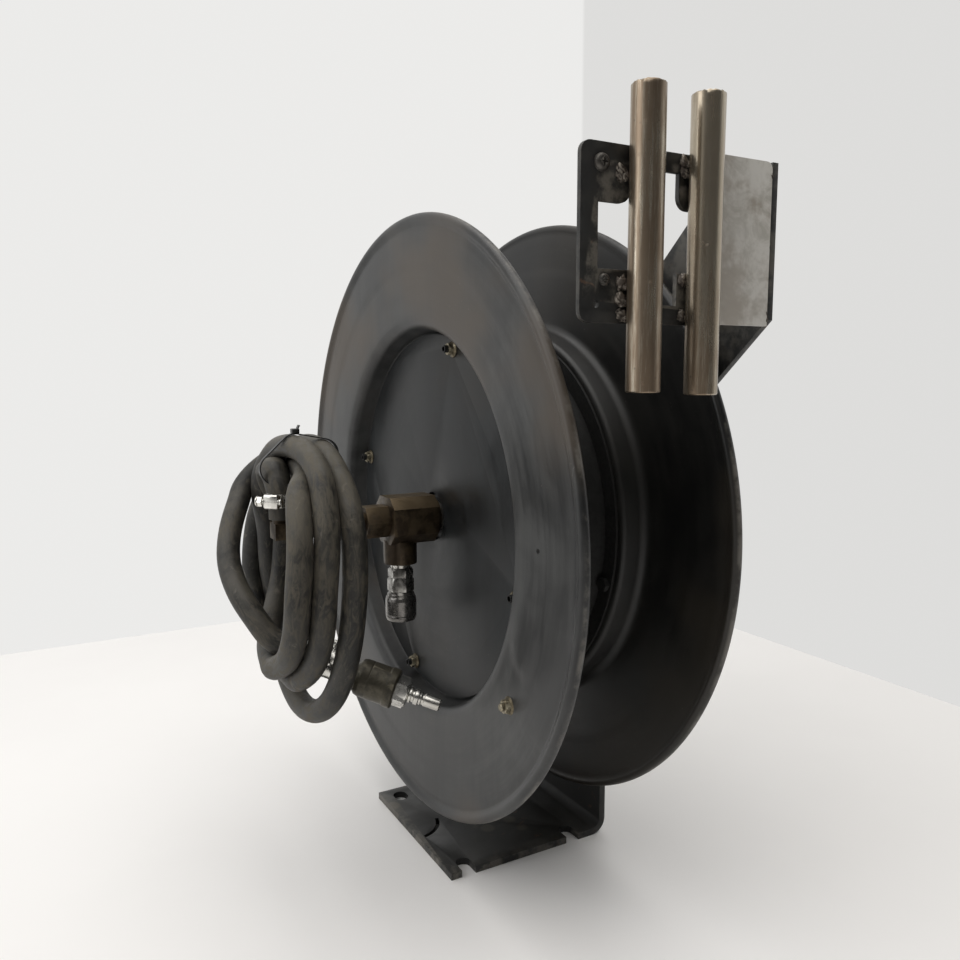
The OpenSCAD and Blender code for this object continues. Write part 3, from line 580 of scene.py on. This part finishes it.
# Each turn: its bottom, the front side going up, and the furthest point back
HOSE_TURNS = [
    ((-200, 0, 186), [(-203.5, -88, 262), (-201.5, -89, 278), (-199, -87, 299), (-192.5, -72, 323),
                      (-184, -54, 337), (-175, -28, 343), (-170, 2, 341), (-168, 30, 337)],
     (-187, 106, 250)),
    ((-187, 0, 173), [(-184.5, -89, 258), (-182.5, -90, 287), (-182, -87, 308), (-179.5, -64, 336),
                      (-177.5, -30, 353), (-177.5, 2, 359), (-178, 28, 356.5)],
     (-176, 90, 247)),
    ((-174, 4, 139), [(-161.5, -89, 252), (-160.5, -90, 287), (-161, -86, 309), (-160.5, -61, 335),
                      (-158.5, -27, 352.5), (-159.5, 4, 358), (-159.5, 28, 357)], None)]
HOSE_END = (-146.0, -44.5, 178.2)
HOSE_TAIL = [(-162, 50, 352), (-168, 70, 345), (-176, 84, 339), (-186, 88, 330), (-199.5, 81, 311),
             (-213, 66, 292), (-222, 48, 268.5), (-223, 35, 253), (-219, 15, 235), (-210, 0, 219),
             (-203, -9, 201), (-191, -19, 191), (-177, -26, 187), (-163, -32, 185), HOSE_END]
QUARTER_STEPS = 5
HOSE_SEGS = 28
ARCH_AT, ARCH_SPREAD = 52.0, 26.0       # along the hose


def quarter(start, end, out_first):
    """Points of a quarter turn between two (x, y, z) places, without the end."""
    pts = []
    for k in range(QUARTER_STEPS):
        a = math.pi / 2 * k / QUARTER_STEPS
        s, c = math.sin(a), 1 - math.cos(a)
        fy, fz = (s, c) if out_first else (c, s)
        pts.append((start[0] + (end[0] - start[0]) * k / QUARTER_STEPS,
                    start[1] + (end[1] - start[1]) * fy, start[2] + (end[2] - start[2]) * fz))
    return pts


def hose_points():
    pts = list(HOSE_LEAD)
    for i, (bottom, front, back) in enumerate(HOSE_TURNS):
        pts += quarter(bottom, front[0], True) + front
        if back:
            pts += quarter(front[-1], back, True)[1:] + quarter(back, HOSE_TURNS[i + 1][0], False)
    return pts + HOSE_TAIL


def relax(path, gap, rounds=260):
    """Pushes apart stretches closer than gap, and keeps the line smooth. Both ends stay."""
    home = path.copy()
    p = path.copy()
    n = len(p)
    index = np.arange(n)
    far = np.abs(index[:, None] - index[None, :]) > 6
    hold = np.ones(n)
    hold[:4] = hold[-6:] = 0.0
    for _ in range(rounds):
        d = p[:, None, :] - p[None, :, :]
        dist = np.linalg.norm(d, axis=2) + 1e-9
        short = np.where(far & (dist < gap), gap - dist, 0.0)
        push = (d / dist[..., None] * short[..., None]).sum(1) * 0.25
        smooth = np.zeros_like(p)
        smooth[1:-1] = (p[:-2] + p[2:]) / 2 - p[1:-1]
        bend = p[:-4] - 4 * p[1:-3] + 6 * p[2:-2] - 4 * p[3:-1] + p[4:]
        smooth[2:-2] = smooth[2:-2] * 0.5 - bend * 0.06
        p = p + hold[:, None] * (push + smooth * 0.35 + (home - p) * 0.02)
    return resample(p, 5.0)


hose_path = relax(catmull(hose_points(), 5.0), 2 * HOSE_R + 0.3)


def arch_squash(gone):
    """The hose is squeezed a little flat over its first sharp arch."""
    flat = math.exp(-((gone - ARCH_AT) / ARCH_SPREAD) ** 2)
    return 1 + 0.24 * flat, 1 - 0.16 * flat


hose_verts, hose_faces, hose_rows = tube_data(hose_path, HOSE_R, HOSE_SEGS, arch_squash)
hose = new_object("inlet_hose", hose_verts, hose_faces, weld=False)
uv_layer = hose.data.uv_layers.new(name="along")
for poly in hose.data.polygons:
    for corner, loop in enumerate(poly.loop_indices):
        gone, turn = hose_rows[hose.data.loops[loop].vertex_index]
        seam = any(v % HOSE_SEGS == HOSE_SEGS - 1 for v in poly.vertices)
        wrap = 1.0 if seam and poly.vertices[corner] % HOSE_SEGS == 0 else turn
        uv_layer.data[loop].uv = (gone * MM * 10, wrap)
finish_piece(hose, "hose", "hose_rubber", "root", ("hose_lead", "hose_coil", "hose_tail"))

# ---------------------------------------------------------------- spool discs


def arc2(cx, cy, r, a0, a1, n):
    """n + 1 points of an arc about (cx, cy), from a0 to a1 degrees."""
    return [(cx + r * math.cos(math.radians(a0 + (a1 - a0) * i / n)),
             cy + r * math.sin(math.radians(a0 + (a1 - a0) * i / n))) for i in range(n + 1)]


def thicken(line, t):
    """Closed loop round an open (radius, height) line, t thick."""
    p = np.array(line, float)
    d = np.gradient(p, axis=0)
    d /= np.linalg.norm(d, axis=1)[:, None]
    side = np.stack([-d[:, 1], d[:, 0]], 1) * t / 2
    return [tuple(v) for v in (p + side)] + [tuple(v) for v in (p - side)[::-1]]


def disc_line(near=True):
    """Middle of the sheet, (radius, depth): flange, recess wall, shoulder, dished flat, rim.

    The near disc has a crease inside its rim, and the far disc's rim rolls away from the drum.
    """
    flange = [(138.0, 24.5), (144, 24.5), (150, 24.5), (155, 24.5)]
    wall = arc2(156.5, 20.5, 4.0, 90, 5, 4)
    shoulder = arc2(171.0, 12.0, 9.0, 187, 262, 9)
    flat = [(174, 2.75), (180, 2.35), (187, 2.05), (194, 1.8), (201, 1.65), (207, 1.55), (211, 1.5),
            (214, 1.15), (218, 1.0), (224, 0.95), (230, 0.95), (236, 1.0)]
    if near:
        flat += [(240, 1.2), (242.5, 1.6), (244.2, 1.4), (245.8, 0.3), (247.2, -0.5)]
        curl = arc2(249.2, 2.0, 3.2, 238, 480, 14)
    else:
        flat += [(240, 0.9), (244, 0.7)]
        curl = arc2(249.2, -2.4, 3.2, 122, -120, 14)
    return flange + wall + shoulder + flat + curl


OVAL_AT = Vector((-184.0, 242.0))       # (y, z)
OVAL_ALONG = Vector((0.178, -0.984))
OVAL_HALF = (34.0, 17.0)
HOLE_AT, HOLE_R = (-199, 299), 2
SHEET, DISC_SEGS = 2.0, 360


def oval_relief(p):
    """Shallow oval pad pressed out of the near disc's flat, and slight unevenness of the sheet."""
    d = Vector((p.y, p.z)) - OVAL_AT
    u = d.dot(OVAL_ALONG) / OVAL_HALF[0]
    v = d.dot(Vector((-OVAL_ALONG.y, OVAL_ALONG.x))) / OVAL_HALF[1]
    size = math.hypot(u, v)
    pad = 0.0
    if size < 1.25:
        edge = min(1.0, max(0.0, (1.15 - size) / 0.28))
        pad = 1.1 * edge * edge * (3 - 2 * edge)
    wave = 0.35 * noise.noise(Vector((1.0, p.y * 0.012, p.z * 0.012)))
    r = math.hypot(p.y, p.z - AXLE_Z)
    fade = max(0.0, min(1.0, (r - 165) / 15)) * max(0.0, min(1.0, (247 - r) / 6))
    return Vector((p.x - (pad + wave) * fade, p.y, p.z))


def far_waves(p):
    """Unevenness of the far disc's sheet."""
    r = math.hypot(p.y, p.z - AXLE_Z)
    fade = max(0.0, min(1.0, (r - 165) / 15))
    wave = 0.5 * noise.noise(Vector((4.0, p.y * 0.011, p.z * 0.011)))
    return Vector((p.x + wave * fade, p.y, p.z))


near_disc = lathe("near_disc_sheet", thicken(disc_line(), SHEET), along_axle(NEAR_RIM_X),
                  DISC_SEGS, oval_relief, 60)
hole = lathe("hole_tool", [(0, -20), (HOLE_R, -20), (HOLE_R, 20), (0, 20)],
             axis_frame((NEAR_RIM_X, *HOLE_AT), (1, 0, 0)), 24)
cutter = near_disc.modifiers.new("hole", "BOOLEAN")
cutter.operation, cutter.object, cutter.solver = "DIFFERENCE", hole, "EXACT"


def apply_modifiers(obj):
    graph = bpy.context.evaluated_depsgraph_get()
    mesh = bpy.data.meshes.new_from_object(obj.evaluated_get(graph))
    obj.modifiers.clear()
    old, obj.data = obj.data, mesh
    bpy.data.meshes.remove(old)


apply_modifiers(near_disc)
bpy.data.objects.remove(hole)
shade(near_disc.data, 50)
finish_piece(near_disc, "disc", "disc_paint", "spool", ("near_disc",))
far_place = Matrix.Translation((FAR_RIM_X, 0, AXLE_Z)) @ Matrix.Rotation(math.radians(-90), 4, "Y")
far_disc = lathe("far_disc_sheet", thicken(disc_line(False), SHEET), far_place, DISC_SEGS,
                 far_waves, 60)
# Painted shade: the far disc takes the darker inner copy of the disc paint.
finish_piece(far_disc, "inner", "disc_paint", "spool", ("far_disc",))

# ---------------------------------------------------------------- screw threads and nuts


def thread_profile(r, length, pitch, depth=0.45, chamfer=0.8):
    """Closed loop of a threaded stud from height 0, the thread as rings."""
    pts = [(0, 0)]
    h = 0.0
    while h < length - chamfer - pitch:
        pts += [(r, h), (r, h + pitch * 0.2), (r - depth, h + pitch * 0.55), (r, h + pitch * 0.95)]
        h += pitch
    return pts + [(r, length - chamfer), (r - chamfer, length), (0, length)]


def hex_data(flats, h, place, chamfer=0.8):
    """A hexagon nut blank with its corners turned down on the outer face."""
    corner = flats / math.sqrt(3)
    verts = []
    rings = [(0, 0, 0), (0, 0, 1), (h - chamfer, 0, 1), (h, 1, 0.93), (h, 1, 0)]
    segs = 48
    for z, low, scale in rings:
        for k in range(segs):
            a = 2 * math.pi * k / segs + math.radians(30)
            to_flat = (flats / 2) / math.cos((a + math.pi / 6) % (math.pi / 3) - math.pi / 6)
            r = min(to_flat, corner) * scale
            if low and scale:
                r = flats / 2 * 0.97
            drop = (to_flat - flats / 2) * 0.55 if z == h - chamfer else 0.0
            verts.append(place @ Vector((r * math.cos(a), r * math.sin(a), z - drop)))
    return verts, grid_faces(len(rings), segs)


def bolt_and_nut(place, stud, spin):
    """Serrated flange nut standing on place's local Z = 0, with the stud's end through it."""
    turn = place @ Matrix.Rotation(math.radians(spin), 4, "Z")
    flange = rounded([(0, 0), (6.9, 0), (6.9, 0.8), (5.2, 2.0), (0, 2.0)], 0.3)
    return [lathe_data(flange, 40, turn), hex_data(9.6, 5.6, turn),
            lathe_data(thread_profile(2.9, stud, 0.9), 24, turn)]


def bolt_place(x, radius, degrees, facing):
    """On the spool at that radius and angle about the axle, standing towards facing along X."""
    a = math.radians(degrees)
    return axis_frame((x, -radius * math.cos(a), AXLE_Z + radius * math.sin(a)), (facing, 0, 0))


COVER_BOLTS_R, COVER_BOLTS_TURN, COVER_STUD = 149, 74.5, 9.0
parts = []
for x, facing, spin, spin_step in ((NEAR_FLOOR_X, -1, 5, 17), (FAR_FLOOR_X, 1, 0, 23)):
    for k in range(4):
        place = bolt_place(x, COVER_BOLTS_R, COVER_BOLTS_TURN + 90 * k, facing)
        parts += bolt_and_nut(place, COVER_STUD, spin + spin_step * k)
finish_piece(joined("cover_nut_set", parts), "fastener", "olive_fasteners", "spool",
             ("cover_nuts",))
rim_place = bolt_place(NEAR_RIM_X + 1.4, 197.6, -34.6, -1)
back = rim_place @ Matrix.Translation((0, 0, -3.0)) @ Matrix.Rotation(math.pi, 4, "X")
finish_piece(joined("rim_bolt_and_nut", bolt_and_nut(rim_place, 8.5, 12) + [hex_data(10, 4, back)]),
             "fastener", "olive_fasteners", "spool", ("rim_bolt",))

# ---------------------------------------------------------------- guide tubes and welds


TUBE_Y, TUBE_R, TUBE_BORE_R = -253.95, 10.65, 7.9


def guide_tube(name, x, low, top, seed, node):
    """Pipe with thick walls, its upper end hand cut and burred."""

    def warp(p):
        high = max(0.0, (p.z - low - top + 6) / 6)
        ragged = 0.7 * noise.noise(Vector((p.x * 0.9 + seed, p.y * 0.9, 3.0))) * high
        dent = 0.12 * noise.noise(Vector((p.x * 0.1 + seed, p.y * 0.1, p.z * 0.03)))
        out = Vector((p.x - x, p.y - TUBE_Y, 0)).normalized() * dent
        return Vector((p.x + out.x, p.y + out.y, p.z + ragged))

    heights = [0.8] + [float(h) for h in range(8, int(top) - 7, 8)] + [top - 6, top - 3, top - 0.8]
    outer = [(9.9, 0)] + [(TUBE_R, h) for h in heights] + [(9.9, top)]
    inner = [(8.4, top)] + [(TUBE_BORE_R, h) for h in heights[::-1]] + [(8.4, 0)]
    obj = lathe(name, outer + inner, Matrix.Translation((x, TUBE_Y, low)), 48, warp, 40)
    finish_piece(obj, "tube", "bare_tube_steel", "root", (node,))


guide_tube("guide_pipe_left", -34.4, 404, 180.0, 1.7, "guide_tube_left")
guide_tube("guide_pipe_right", 12.6, 402, 183.0, 6.1, "guide_tube_right")

# (x, z) of each bead's middle and its half lengths, on the guide frame's front face
WELDS = [(-46, 534, 5, 6), (-44.5, 470, 5, 5), (-45, 460, 5, 5), (-44.5, 451, 4.5, 4.5),
         (2.5, 546, 3.5, 4.5), (3, 540, 3.5, 4), (4, 474, 4, 4.5), (4, 452, 4, 4.5),
         (-24, 545, 3, 5), (-24, 452, 3, 5), (24, 545, 3, 5), (24, 452, 3, 5)]
# (z, half length) of each bead along the post
POST_WELDS = [(452, 6), (500, 7), (545, 5)]


def blob_data(center, radii, seed, rings=10, segs=16):
    """Lumpy ellipsoid of weld metal."""
    verts = []
    for i in range(rings + 1):
        v = math.pi * i / rings
        for k in range(segs):
            u = 2 * math.pi * k / segs
            d = Vector((math.sin(v) * math.cos(u), math.sin(v) * math.sin(u), math.cos(v)))
            lump = 0.9 + 0.5 * noise.noise(d * 2.6 + Vector((seed, seed * 0.7, 0)))
            verts.append(Vector(center) + d * Vector(radii) * lump)
    return verts, grid_faces(rings + 1, segs)


beads = []
for i, (x, z, half_x, half_z) in enumerate(WELDS):
    beads += [blob_data((x, -244.0, z), (half_x * 0.9, 3.0, half_z * 0.9), i * 1.3),
              blob_data((x + 2.2, -245.0, z - 1.6), (half_x * 0.6, 2.5, half_z * 0.55),
                        i * 2.1 + 4)]
for i, (z, half) in enumerate(POST_WELDS):
    beads.append(blob_data((78.5, -244.5, z), (2.6, 2.2, half), 9 + i))
finish_piece(joined("weld_beads", beads, 80), "weld", "weld_metal", "root", ("guide_welds",))

# ---------------------------------------------------------------- hose fittings and clamps

tail_frame = (Matrix.Translation(HOSE_END) @ Matrix.Rotation(math.radians(-36), 4, "Z")
              @ Matrix.Rotation(math.radians(108), 4, "Y"))


def band_data(place, r, width, segs=64):
    """Clamp band with rolled edges and a row of pressed slots all round."""
    verts = []
    rows = [(-0.5, 0.0), (-0.5, 0.75), (-0.42, 0.95), (-0.36, 0.7), (-0.2, 0.62),
            (0.2, 0.62), (0.36, 0.7), (0.42, 0.95), (0.5, 0.75), (0.5, 0.0)]
    for k in range(segs):
        a = 2 * math.pi * k / segs
        slot = 0.28 if k % 2 else 0.0
        for w, t in rows:
            dent = slot if abs(w) < 0.3 else 0.0
            verts.append(place @ Vector(((r + t - dent) * math.cos(a), (r + t - dent) * math.sin(a),
                                         width * (w + 0.5))))
    return verts, grid_faces(segs, len(rows), True)


def box_data(place, low, high, round_by):
    """Block with its long edges rounded, long way along local X."""
    y0, y1, z0, z1 = low[1], high[1], low[2], high[2]
    loop = []
    for cy, cz, a0 in ((y1, z1, 0), (y0, z1, 90), (y0, z0, 180), (y1, z0, 270)):
        iy = cy - math.copysign(round_by, cy - (y0 + y1) / 2)
        iz = cz - math.copysign(round_by, cz - (z0 + z1) / 2)
        loop += arc2(iy, iz, round_by, a0, a0 + 90, 4)
    xs = [(low[0], 0.9), (low[0] + 0.5, 1), (high[0] - 0.5, 1), (high[0], 0.9)]
    cy, cz = (y0 + y1) / 2, (z0 + z1) / 2
    verts = [place @ Vector((x, cy + (y - cy) * s, cz + (z - cz) * s))
             for x, s in xs for y, z in loop]
    return verts, grid_faces(len(xs), len(loop)) + cap_faces(len(xs), len(loop))


def clamp(name, place, node):
    """Worm-drive clamp: slotted band, curved housing and a hex-headed screw."""
    screw = (place @ Matrix.Translation((-13, -HOSE_R - 3.6, 5.5))
             @ Matrix.Rotation(math.radians(90), 4, "Y"))
    rim = [(0, 0.6), (2.6, 0.6), (2.6, 0), (4.3, 0), (4.3, 1.2), (3.4, 1.6), (0, 1.6)]
    head = screw @ Matrix.Translation((0, 0, 5.2)) @ Matrix.Rotation(math.pi, 4, "X")
    parts = [band_data(place, HOSE_R + 0.15, 11.0),
             box_data(place, (-6.5, -HOSE_R - 6.0, -0.3), (5.5, -HOSE_R - 0.6, 11.3), 2.2),
             lathe_data(rounded(rim, 0.2), 32, screw),
             hex_data(7.4, 4.6, head, 0.5),
             lathe_data(thread_profile(2.6, 17, 1.2, 0.4), 20,
                        screw @ Matrix.Translation((0, 0, 5.0)))]
    return finish_piece(joined(name, parts), "bright", "bright_plating", "root", (node,))


elbow_clamp = clamp("lead_clamp", Matrix.Translation((-189, 0, 311))
                    @ Matrix.Rotation(math.radians(-45), 4, "Z"), "elbow_clamp")
tail_clamp = clamp("end_clamp", tail_frame @ Matrix.Translation((0, 0, -27))
                   @ Matrix.Rotation(math.radians(-60), 4, "Z"), "tail_clamp")

end_body = lathe("end_fitting_body", rounded(
    [(0, 0), (9.8, 0), (11.5, 1.0), (14.2, 3.6), (15.1, 6.5), (15.2, 12), (14.9, 12.7),
     (15.2, 13.4), (15.2, 27.0), (15.9, 28.0), (15.9, 33.6), (14.6, 35.0), (12.4, 35.0),
     (11.6, 33.6), (0, 33.6)], 0.5),
    tail_frame, 72)
finish_piece(end_body, "olive", "olive_fitting", "root", ("hose_end_body",))
nut_place = tail_frame @ Matrix.Translation((0, 0, 35))
plug_nut = joined("plug_hex_nut", [
    hex_data(22, 10.0, nut_place @ Matrix.Rotation(math.radians(14), 4, "Z"), 1.0),
    lathe_data(rounded([(5.4, -2), (10.2, -2), (10.2, 0.4), (5.4, 0.4)], 0.2), 40, nut_place)])
finish_piece(plug_nut, "bright", "bright_plating", "root", ("plug_nut",))
air_plug = lathe("air_plug_tip", rounded(
    [(3.1, 30), (5.3, 30), (5.3, 45.8), (6.4, 46.2), (6.4, 48), (5.1, 48.6), (5.1, 50.4),
     (6.4, 51.1), (6.4, 54), (5.3, 54.6), (5.3, 56.2), (4.6, 56.9), (4.6, 58.4), (5.3, 59.1),
     (5.3, 71.2), (4.6, 72), (3.7, 72), (3.1, 71.2)], 0.25), tail_frame, 56)
finish_piece(air_plug, "bright", "bright_plating", "root", ("air_plug",))

# ---------------------------------------------------------------- coupler on the branch

BRANCH_X = -86


def below_axle(drop):
    """On the branch's axis, drop below the axle."""
    return Matrix.Translation((BRANCH_X, 0, AXLE_Z - drop))


sleeve = lathe("coupler_sleeve_ring", rounded(
    [(9.65, 0.6), (10.6, 0), (12.2, 0), (13.3, 3.0), (13.4, 4.2), (13.1, 4.8), (13.4, 5.4),
     (13.4, 17.4), (13.0, 19.8), (12.1, 21.3), (11.87, 21.3), (11.87, 8.2), (9.65, 8.2)], 0.3),
    below_axle(88), 96)
finish_piece(sleeve, "coupler", "coupler_steel", "coupler_sleeve", ("coupler_sleeve",))
# The body: hexagons on top, collar, thin nose inside the sleeve
barrel = lathe_data(rounded(
    [(5.75, -20.8), (9.55, -20.8), (9.55, 0.2), (11.78, 0.2), (11.78, 2.6), (9.4, 5.4),
     (5.75, 5.4)], 0.3), 72, below_axle(67.5))
top_hex = hex_data(19, 8.0, below_axle(50), 1.2)
low_hex = hex_data(20, 12.4, below_axle(62.3), 1.8)
finish_piece(joined("coupler_barrel", [barrel, low_hex, top_hex]), "coupler", "coupler_steel",
             "root", ("coupler_body",))
adapter = lathe("coupler_union", rounded(
    [(4.0, 0), (6.9, 0), (6.9, 9.7), (8.5, 9.8), (8.5, 14), (6.9, 14.1), (6.9, 28), (4.0, 28)], 0.3),
    below_axle(52), 56)
finish_piece(adapter, "bright", "bright_plating", "root", ("coupler_adapter",))

# ---------------------------------------------------------------- cable tie round the top of the coil

TIE_CLEAR = 0.7                         # between the strap and a strand
LEAD_TOP = (-190.5, 341.0)              # (x, z) of the lead's arch, inside the tie
LEAD_CLEAR = 3.2                        # more room than TIE_CLEAR, over the arch's swollen top
TIE_LOWEST = 336.0                      # strands above this height are inside the tie
STRAP_WIDE, STRAP_THICK = 4.0, 1.0


def tie_y(x):
    """The tie's plane leans back towards the free end of the coil."""
    return -20.0 + (-150.0 - x) * 0.45


def tie_loop():
    """(x, z) outline wrapped round the strands that cross the tie's plane at the top."""
    circles = [(LEAD_TOP[0], 0, LEAD_TOP[1], LEAD_CLEAR)]
    for a, b in zip(hose_path[:-1], hose_path[1:]):
        before, after = a[1] - tie_y(a[0]), b[1] - tie_y(b[0])
        if before * after <= 0 and a[2] > TIE_LOWEST:
            circles.append((*(a + (b - a) * before / (before - after)), TIE_CLEAR))
    cloud = sorted((c[0] + (HOSE_R + c[3]) * math.cos(u), c[2] + (HOSE_R + c[3]) * math.sin(u))
                   for c in circles for u in np.linspace(0, 2 * math.pi, 48, endpoint=False))

    def half(points):
        """One side of the outline that holds all the points."""
        out = []
        for p in points:
            while len(out) > 1 and ((out[-1][0] - out[-2][0]) * (p[1] - out[-2][1])
                                    - (out[-1][1] - out[-2][1]) * (p[0] - out[-2][0])) <= 0:
                out.pop()
            out.append(p)
        return out[:-1]

    return half(cloud) + half(cloud[::-1])


def strap_data(line, closed=True):
    """Flat strap following an (x, z) line in the tie's plane."""
    p = np.array(line, float)
    nxt, prv = np.roll(p, -1, 0), np.roll(p, 1, 0)
    if not closed:
        nxt[-1], prv[0] = p[-1], p[0]
    d = nxt - prv
    d /= np.linalg.norm(d, axis=1)[:, None]
    out = np.stack([d[:, 1], -d[:, 0]], 1)
    verts = []
    for q, o in zip(p, out):
        for w, t in ((-1, 0), (1, 0), (1, 1), (-1, 1)):
            verts.append(Vector((q[0] + o[0] * t * STRAP_THICK, tie_y(q[0]) + w * STRAP_WIDE / 2,
                                 q[1] + o[1] * t * STRAP_THICK)))
    return verts, grid_faces(len(p), 4, closed) + ([] if closed else cap_faces(len(p), 4))


tie_line = tie_loop()
top_x, top_z = max(tie_line, key=lambda p: p[1])
head = Matrix.Translation((top_x, tie_y(top_x), top_z))
stub = [(top_x + 1.2, top_z + 3), (top_x + 1.6, top_z + 5.5), (top_x + 2.6, top_z + 7.5)]
tie_parts = [strap_data(tie_line), box_data(head, (-2.9, -3.0, 0.6), (2.9, 3.0, 4.6), 0.9),
             strap_data(stub, False)]
tie = finish_piece(joined("coil_tie", tie_parts), "tie", "tie_plastic", "root", ("cable_tie",))

# ---------------------------------------------------------------- CAD nodes with softened edges

# Node, material, slot and width of its bevels
SOFTENED = [
    ("base_post", "frame", "foot_paint", 0.9), ("axle_flange", "frame", "foot_paint", 0.6),
    ("guide_arm", "frame", "foot_paint", 0.7), ("guide_frame", "frame", "foot_paint", 0.45),
    ("guide_side_plate", "plate", "weathered_plate", 0.4),
    ("flange_bolts", "fastener", "olive_fasteners", 0.6),
    ("axle_nut", "fastener", "olive_fasteners", 0.8),
    ("axle_washer", "machined", "machined_steel", 0.4),
    ("guide_screws", "screw", "olive_fasteners", 0.2), ("inlet_tee", "brass", "aged_brass", 1.6),
    ("tee_bushing", "brass", "aged_brass", 0.8), ("barb_elbow", "brass", "aged_brass", 0.9),
    ("inlet_nipple", "brass", "aged_brass", 0.4), ("outlet_fitting", "brass", "aged_brass", 0.5),
    ("near_cover", "cover", "disc_paint", 0.4), ("far_cover", "cover", "disc_paint", 0.4),
    ("latch_pawl", "machined", "machined_steel", 0.4),
    ("ratchet_wheel", "machined", "machined_steel", 0.4),
    ("axle", "machined", "machined_steel", 0.5), ("pawl_pin", "machined", "machined_steel", 0.4),
]
for node, mat, slot, width in SOFTENED:
    softened(node, mat, slot, width)

# CAD nodes that show as they are, by material. The darker inner disc paint and the near-black drum
# colour are painted shade for parts inside the spool.
KEPT = {"inner": ("spring_case", "spring_lid", "near_bearing_ring"),
        "painted_shade_black": ("drum", "hub_tube", "cover_bolts", "near_bushing"),
        "machined": ("spring_arbor", "far_bearing_ring"),
        "spring": ("power_spring", "pawl_spring", "valve_spring", "sleeve_spring"),
        "bush": ("far_bushing", "swivel_housing", "outlet_riser", "coupler_valve"),
        "seal": ("swivel_seals",)}
for mat, names in KEPT.items():
    for name in names:
        obj = frame["nodes"][name]
        obj.data.materials.clear()
        obj.data.materials.append(MATS[mat])

# ---------------------------------------------------------------- floor, room and lamps

WALL_X, WALL_Y = 0.644, 0.755           # where the floor ends
ROOM_AXIS = (0.2, 0.975, -0.1)          # from the dim end of the room to the bright one
ROOM_FADE = (-0.75, -0.1)               # where along that axis it changes
ROOM_LEVELS = (0.1, 0.9)
CORNER_AXIS = (0.8118, -0.5840, 0.0)    # across the view towards the corner of the walls
CORNER_FADE = (-0.002, 0.002)
WALL_LEVELS = (1.0, 0.87)               # left wall, right wall


def add_floor():
    """White floor that ends where the two walls of the room begin."""
    far = -6.0
    mesh = bpy.data.meshes.new("floor")
    mesh.from_pydata([(far, far, 0), (WALL_X, far, 0), (WALL_X, WALL_Y, 0), (far, WALL_Y, 0)], [],
                     [(0, 1, 2, 3)])
    floor = bpy.data.objects.new("floor", mesh)
    bpy.context.scene.collection.objects.link(floor)
    m = Mat("floor_white", rough=0.4)
    tone = m.mix(m.step(m.noise(2.5, 4), 0.35, 0.65), (0.86, 0.845, 0.83), (0.88, 0.865, 0.85))
    mesh.materials.append(m.finish(tone, m.step(m.noise(6.0, 3), 0.3, 0.7, 0.34, 0.46)))


def add_world():
    """Pale walls, the right one a little darker, and a dim room behind the viewer."""
    world = bpy.data.worlds.new("studio")
    bpy.context.scene.world = world
    world.use_nodes = True
    tree = world.node_tree
    back = tree.nodes["Background"]
    direction = tree.nodes.new("ShaderNodeTexCoord").outputs["Generated"]

    def band(axis, limits):
        """Blend along axis: the two ends of the fade, then the level at each."""
        dot = tree.nodes.new("ShaderNodeVectorMath")
        dot.operation = "DOT_PRODUCT"
        tree.links.new(direction, dot.inputs[0])
        dot.inputs[1].default_value = axis
        fade = tree.nodes.new("ShaderNodeMapRange")
        fade.interpolation_type = "SMOOTHSTEP"
        for socket, value in zip(list(fade.inputs)[1:5], limits):
            socket.default_value = value
        tree.links.new(dot.outputs["Value"], fade.inputs[0])
        return fade.outputs[0]

    level = tree.nodes.new("ShaderNodeMath")
    level.operation = "MULTIPLY"
    tree.links.new(band(ROOM_AXIS, (*ROOM_FADE, *ROOM_LEVELS)), level.inputs[0])
    tree.links.new(band(CORNER_AXIS, (*CORNER_FADE, *WALL_LEVELS)), level.inputs[1])
    tree.links.new(level.outputs[0], back.inputs["Strength"])
    back.inputs["Color"].default_value = (0.93, 0.925, 0.91, 1)


add_floor()
add_world()
area_light("ceiling", (-0.5, -0.2, 2.3), (0, 0, 0.2), (2.6, 2.6), 36, (1.0, 0.98, 0.955))
area_light("left_window", (-2.3, 0.2, 1.5), (0, 0, 0.3), (1.2, 1.6), 12, (0.97, 0.98, 1.0))
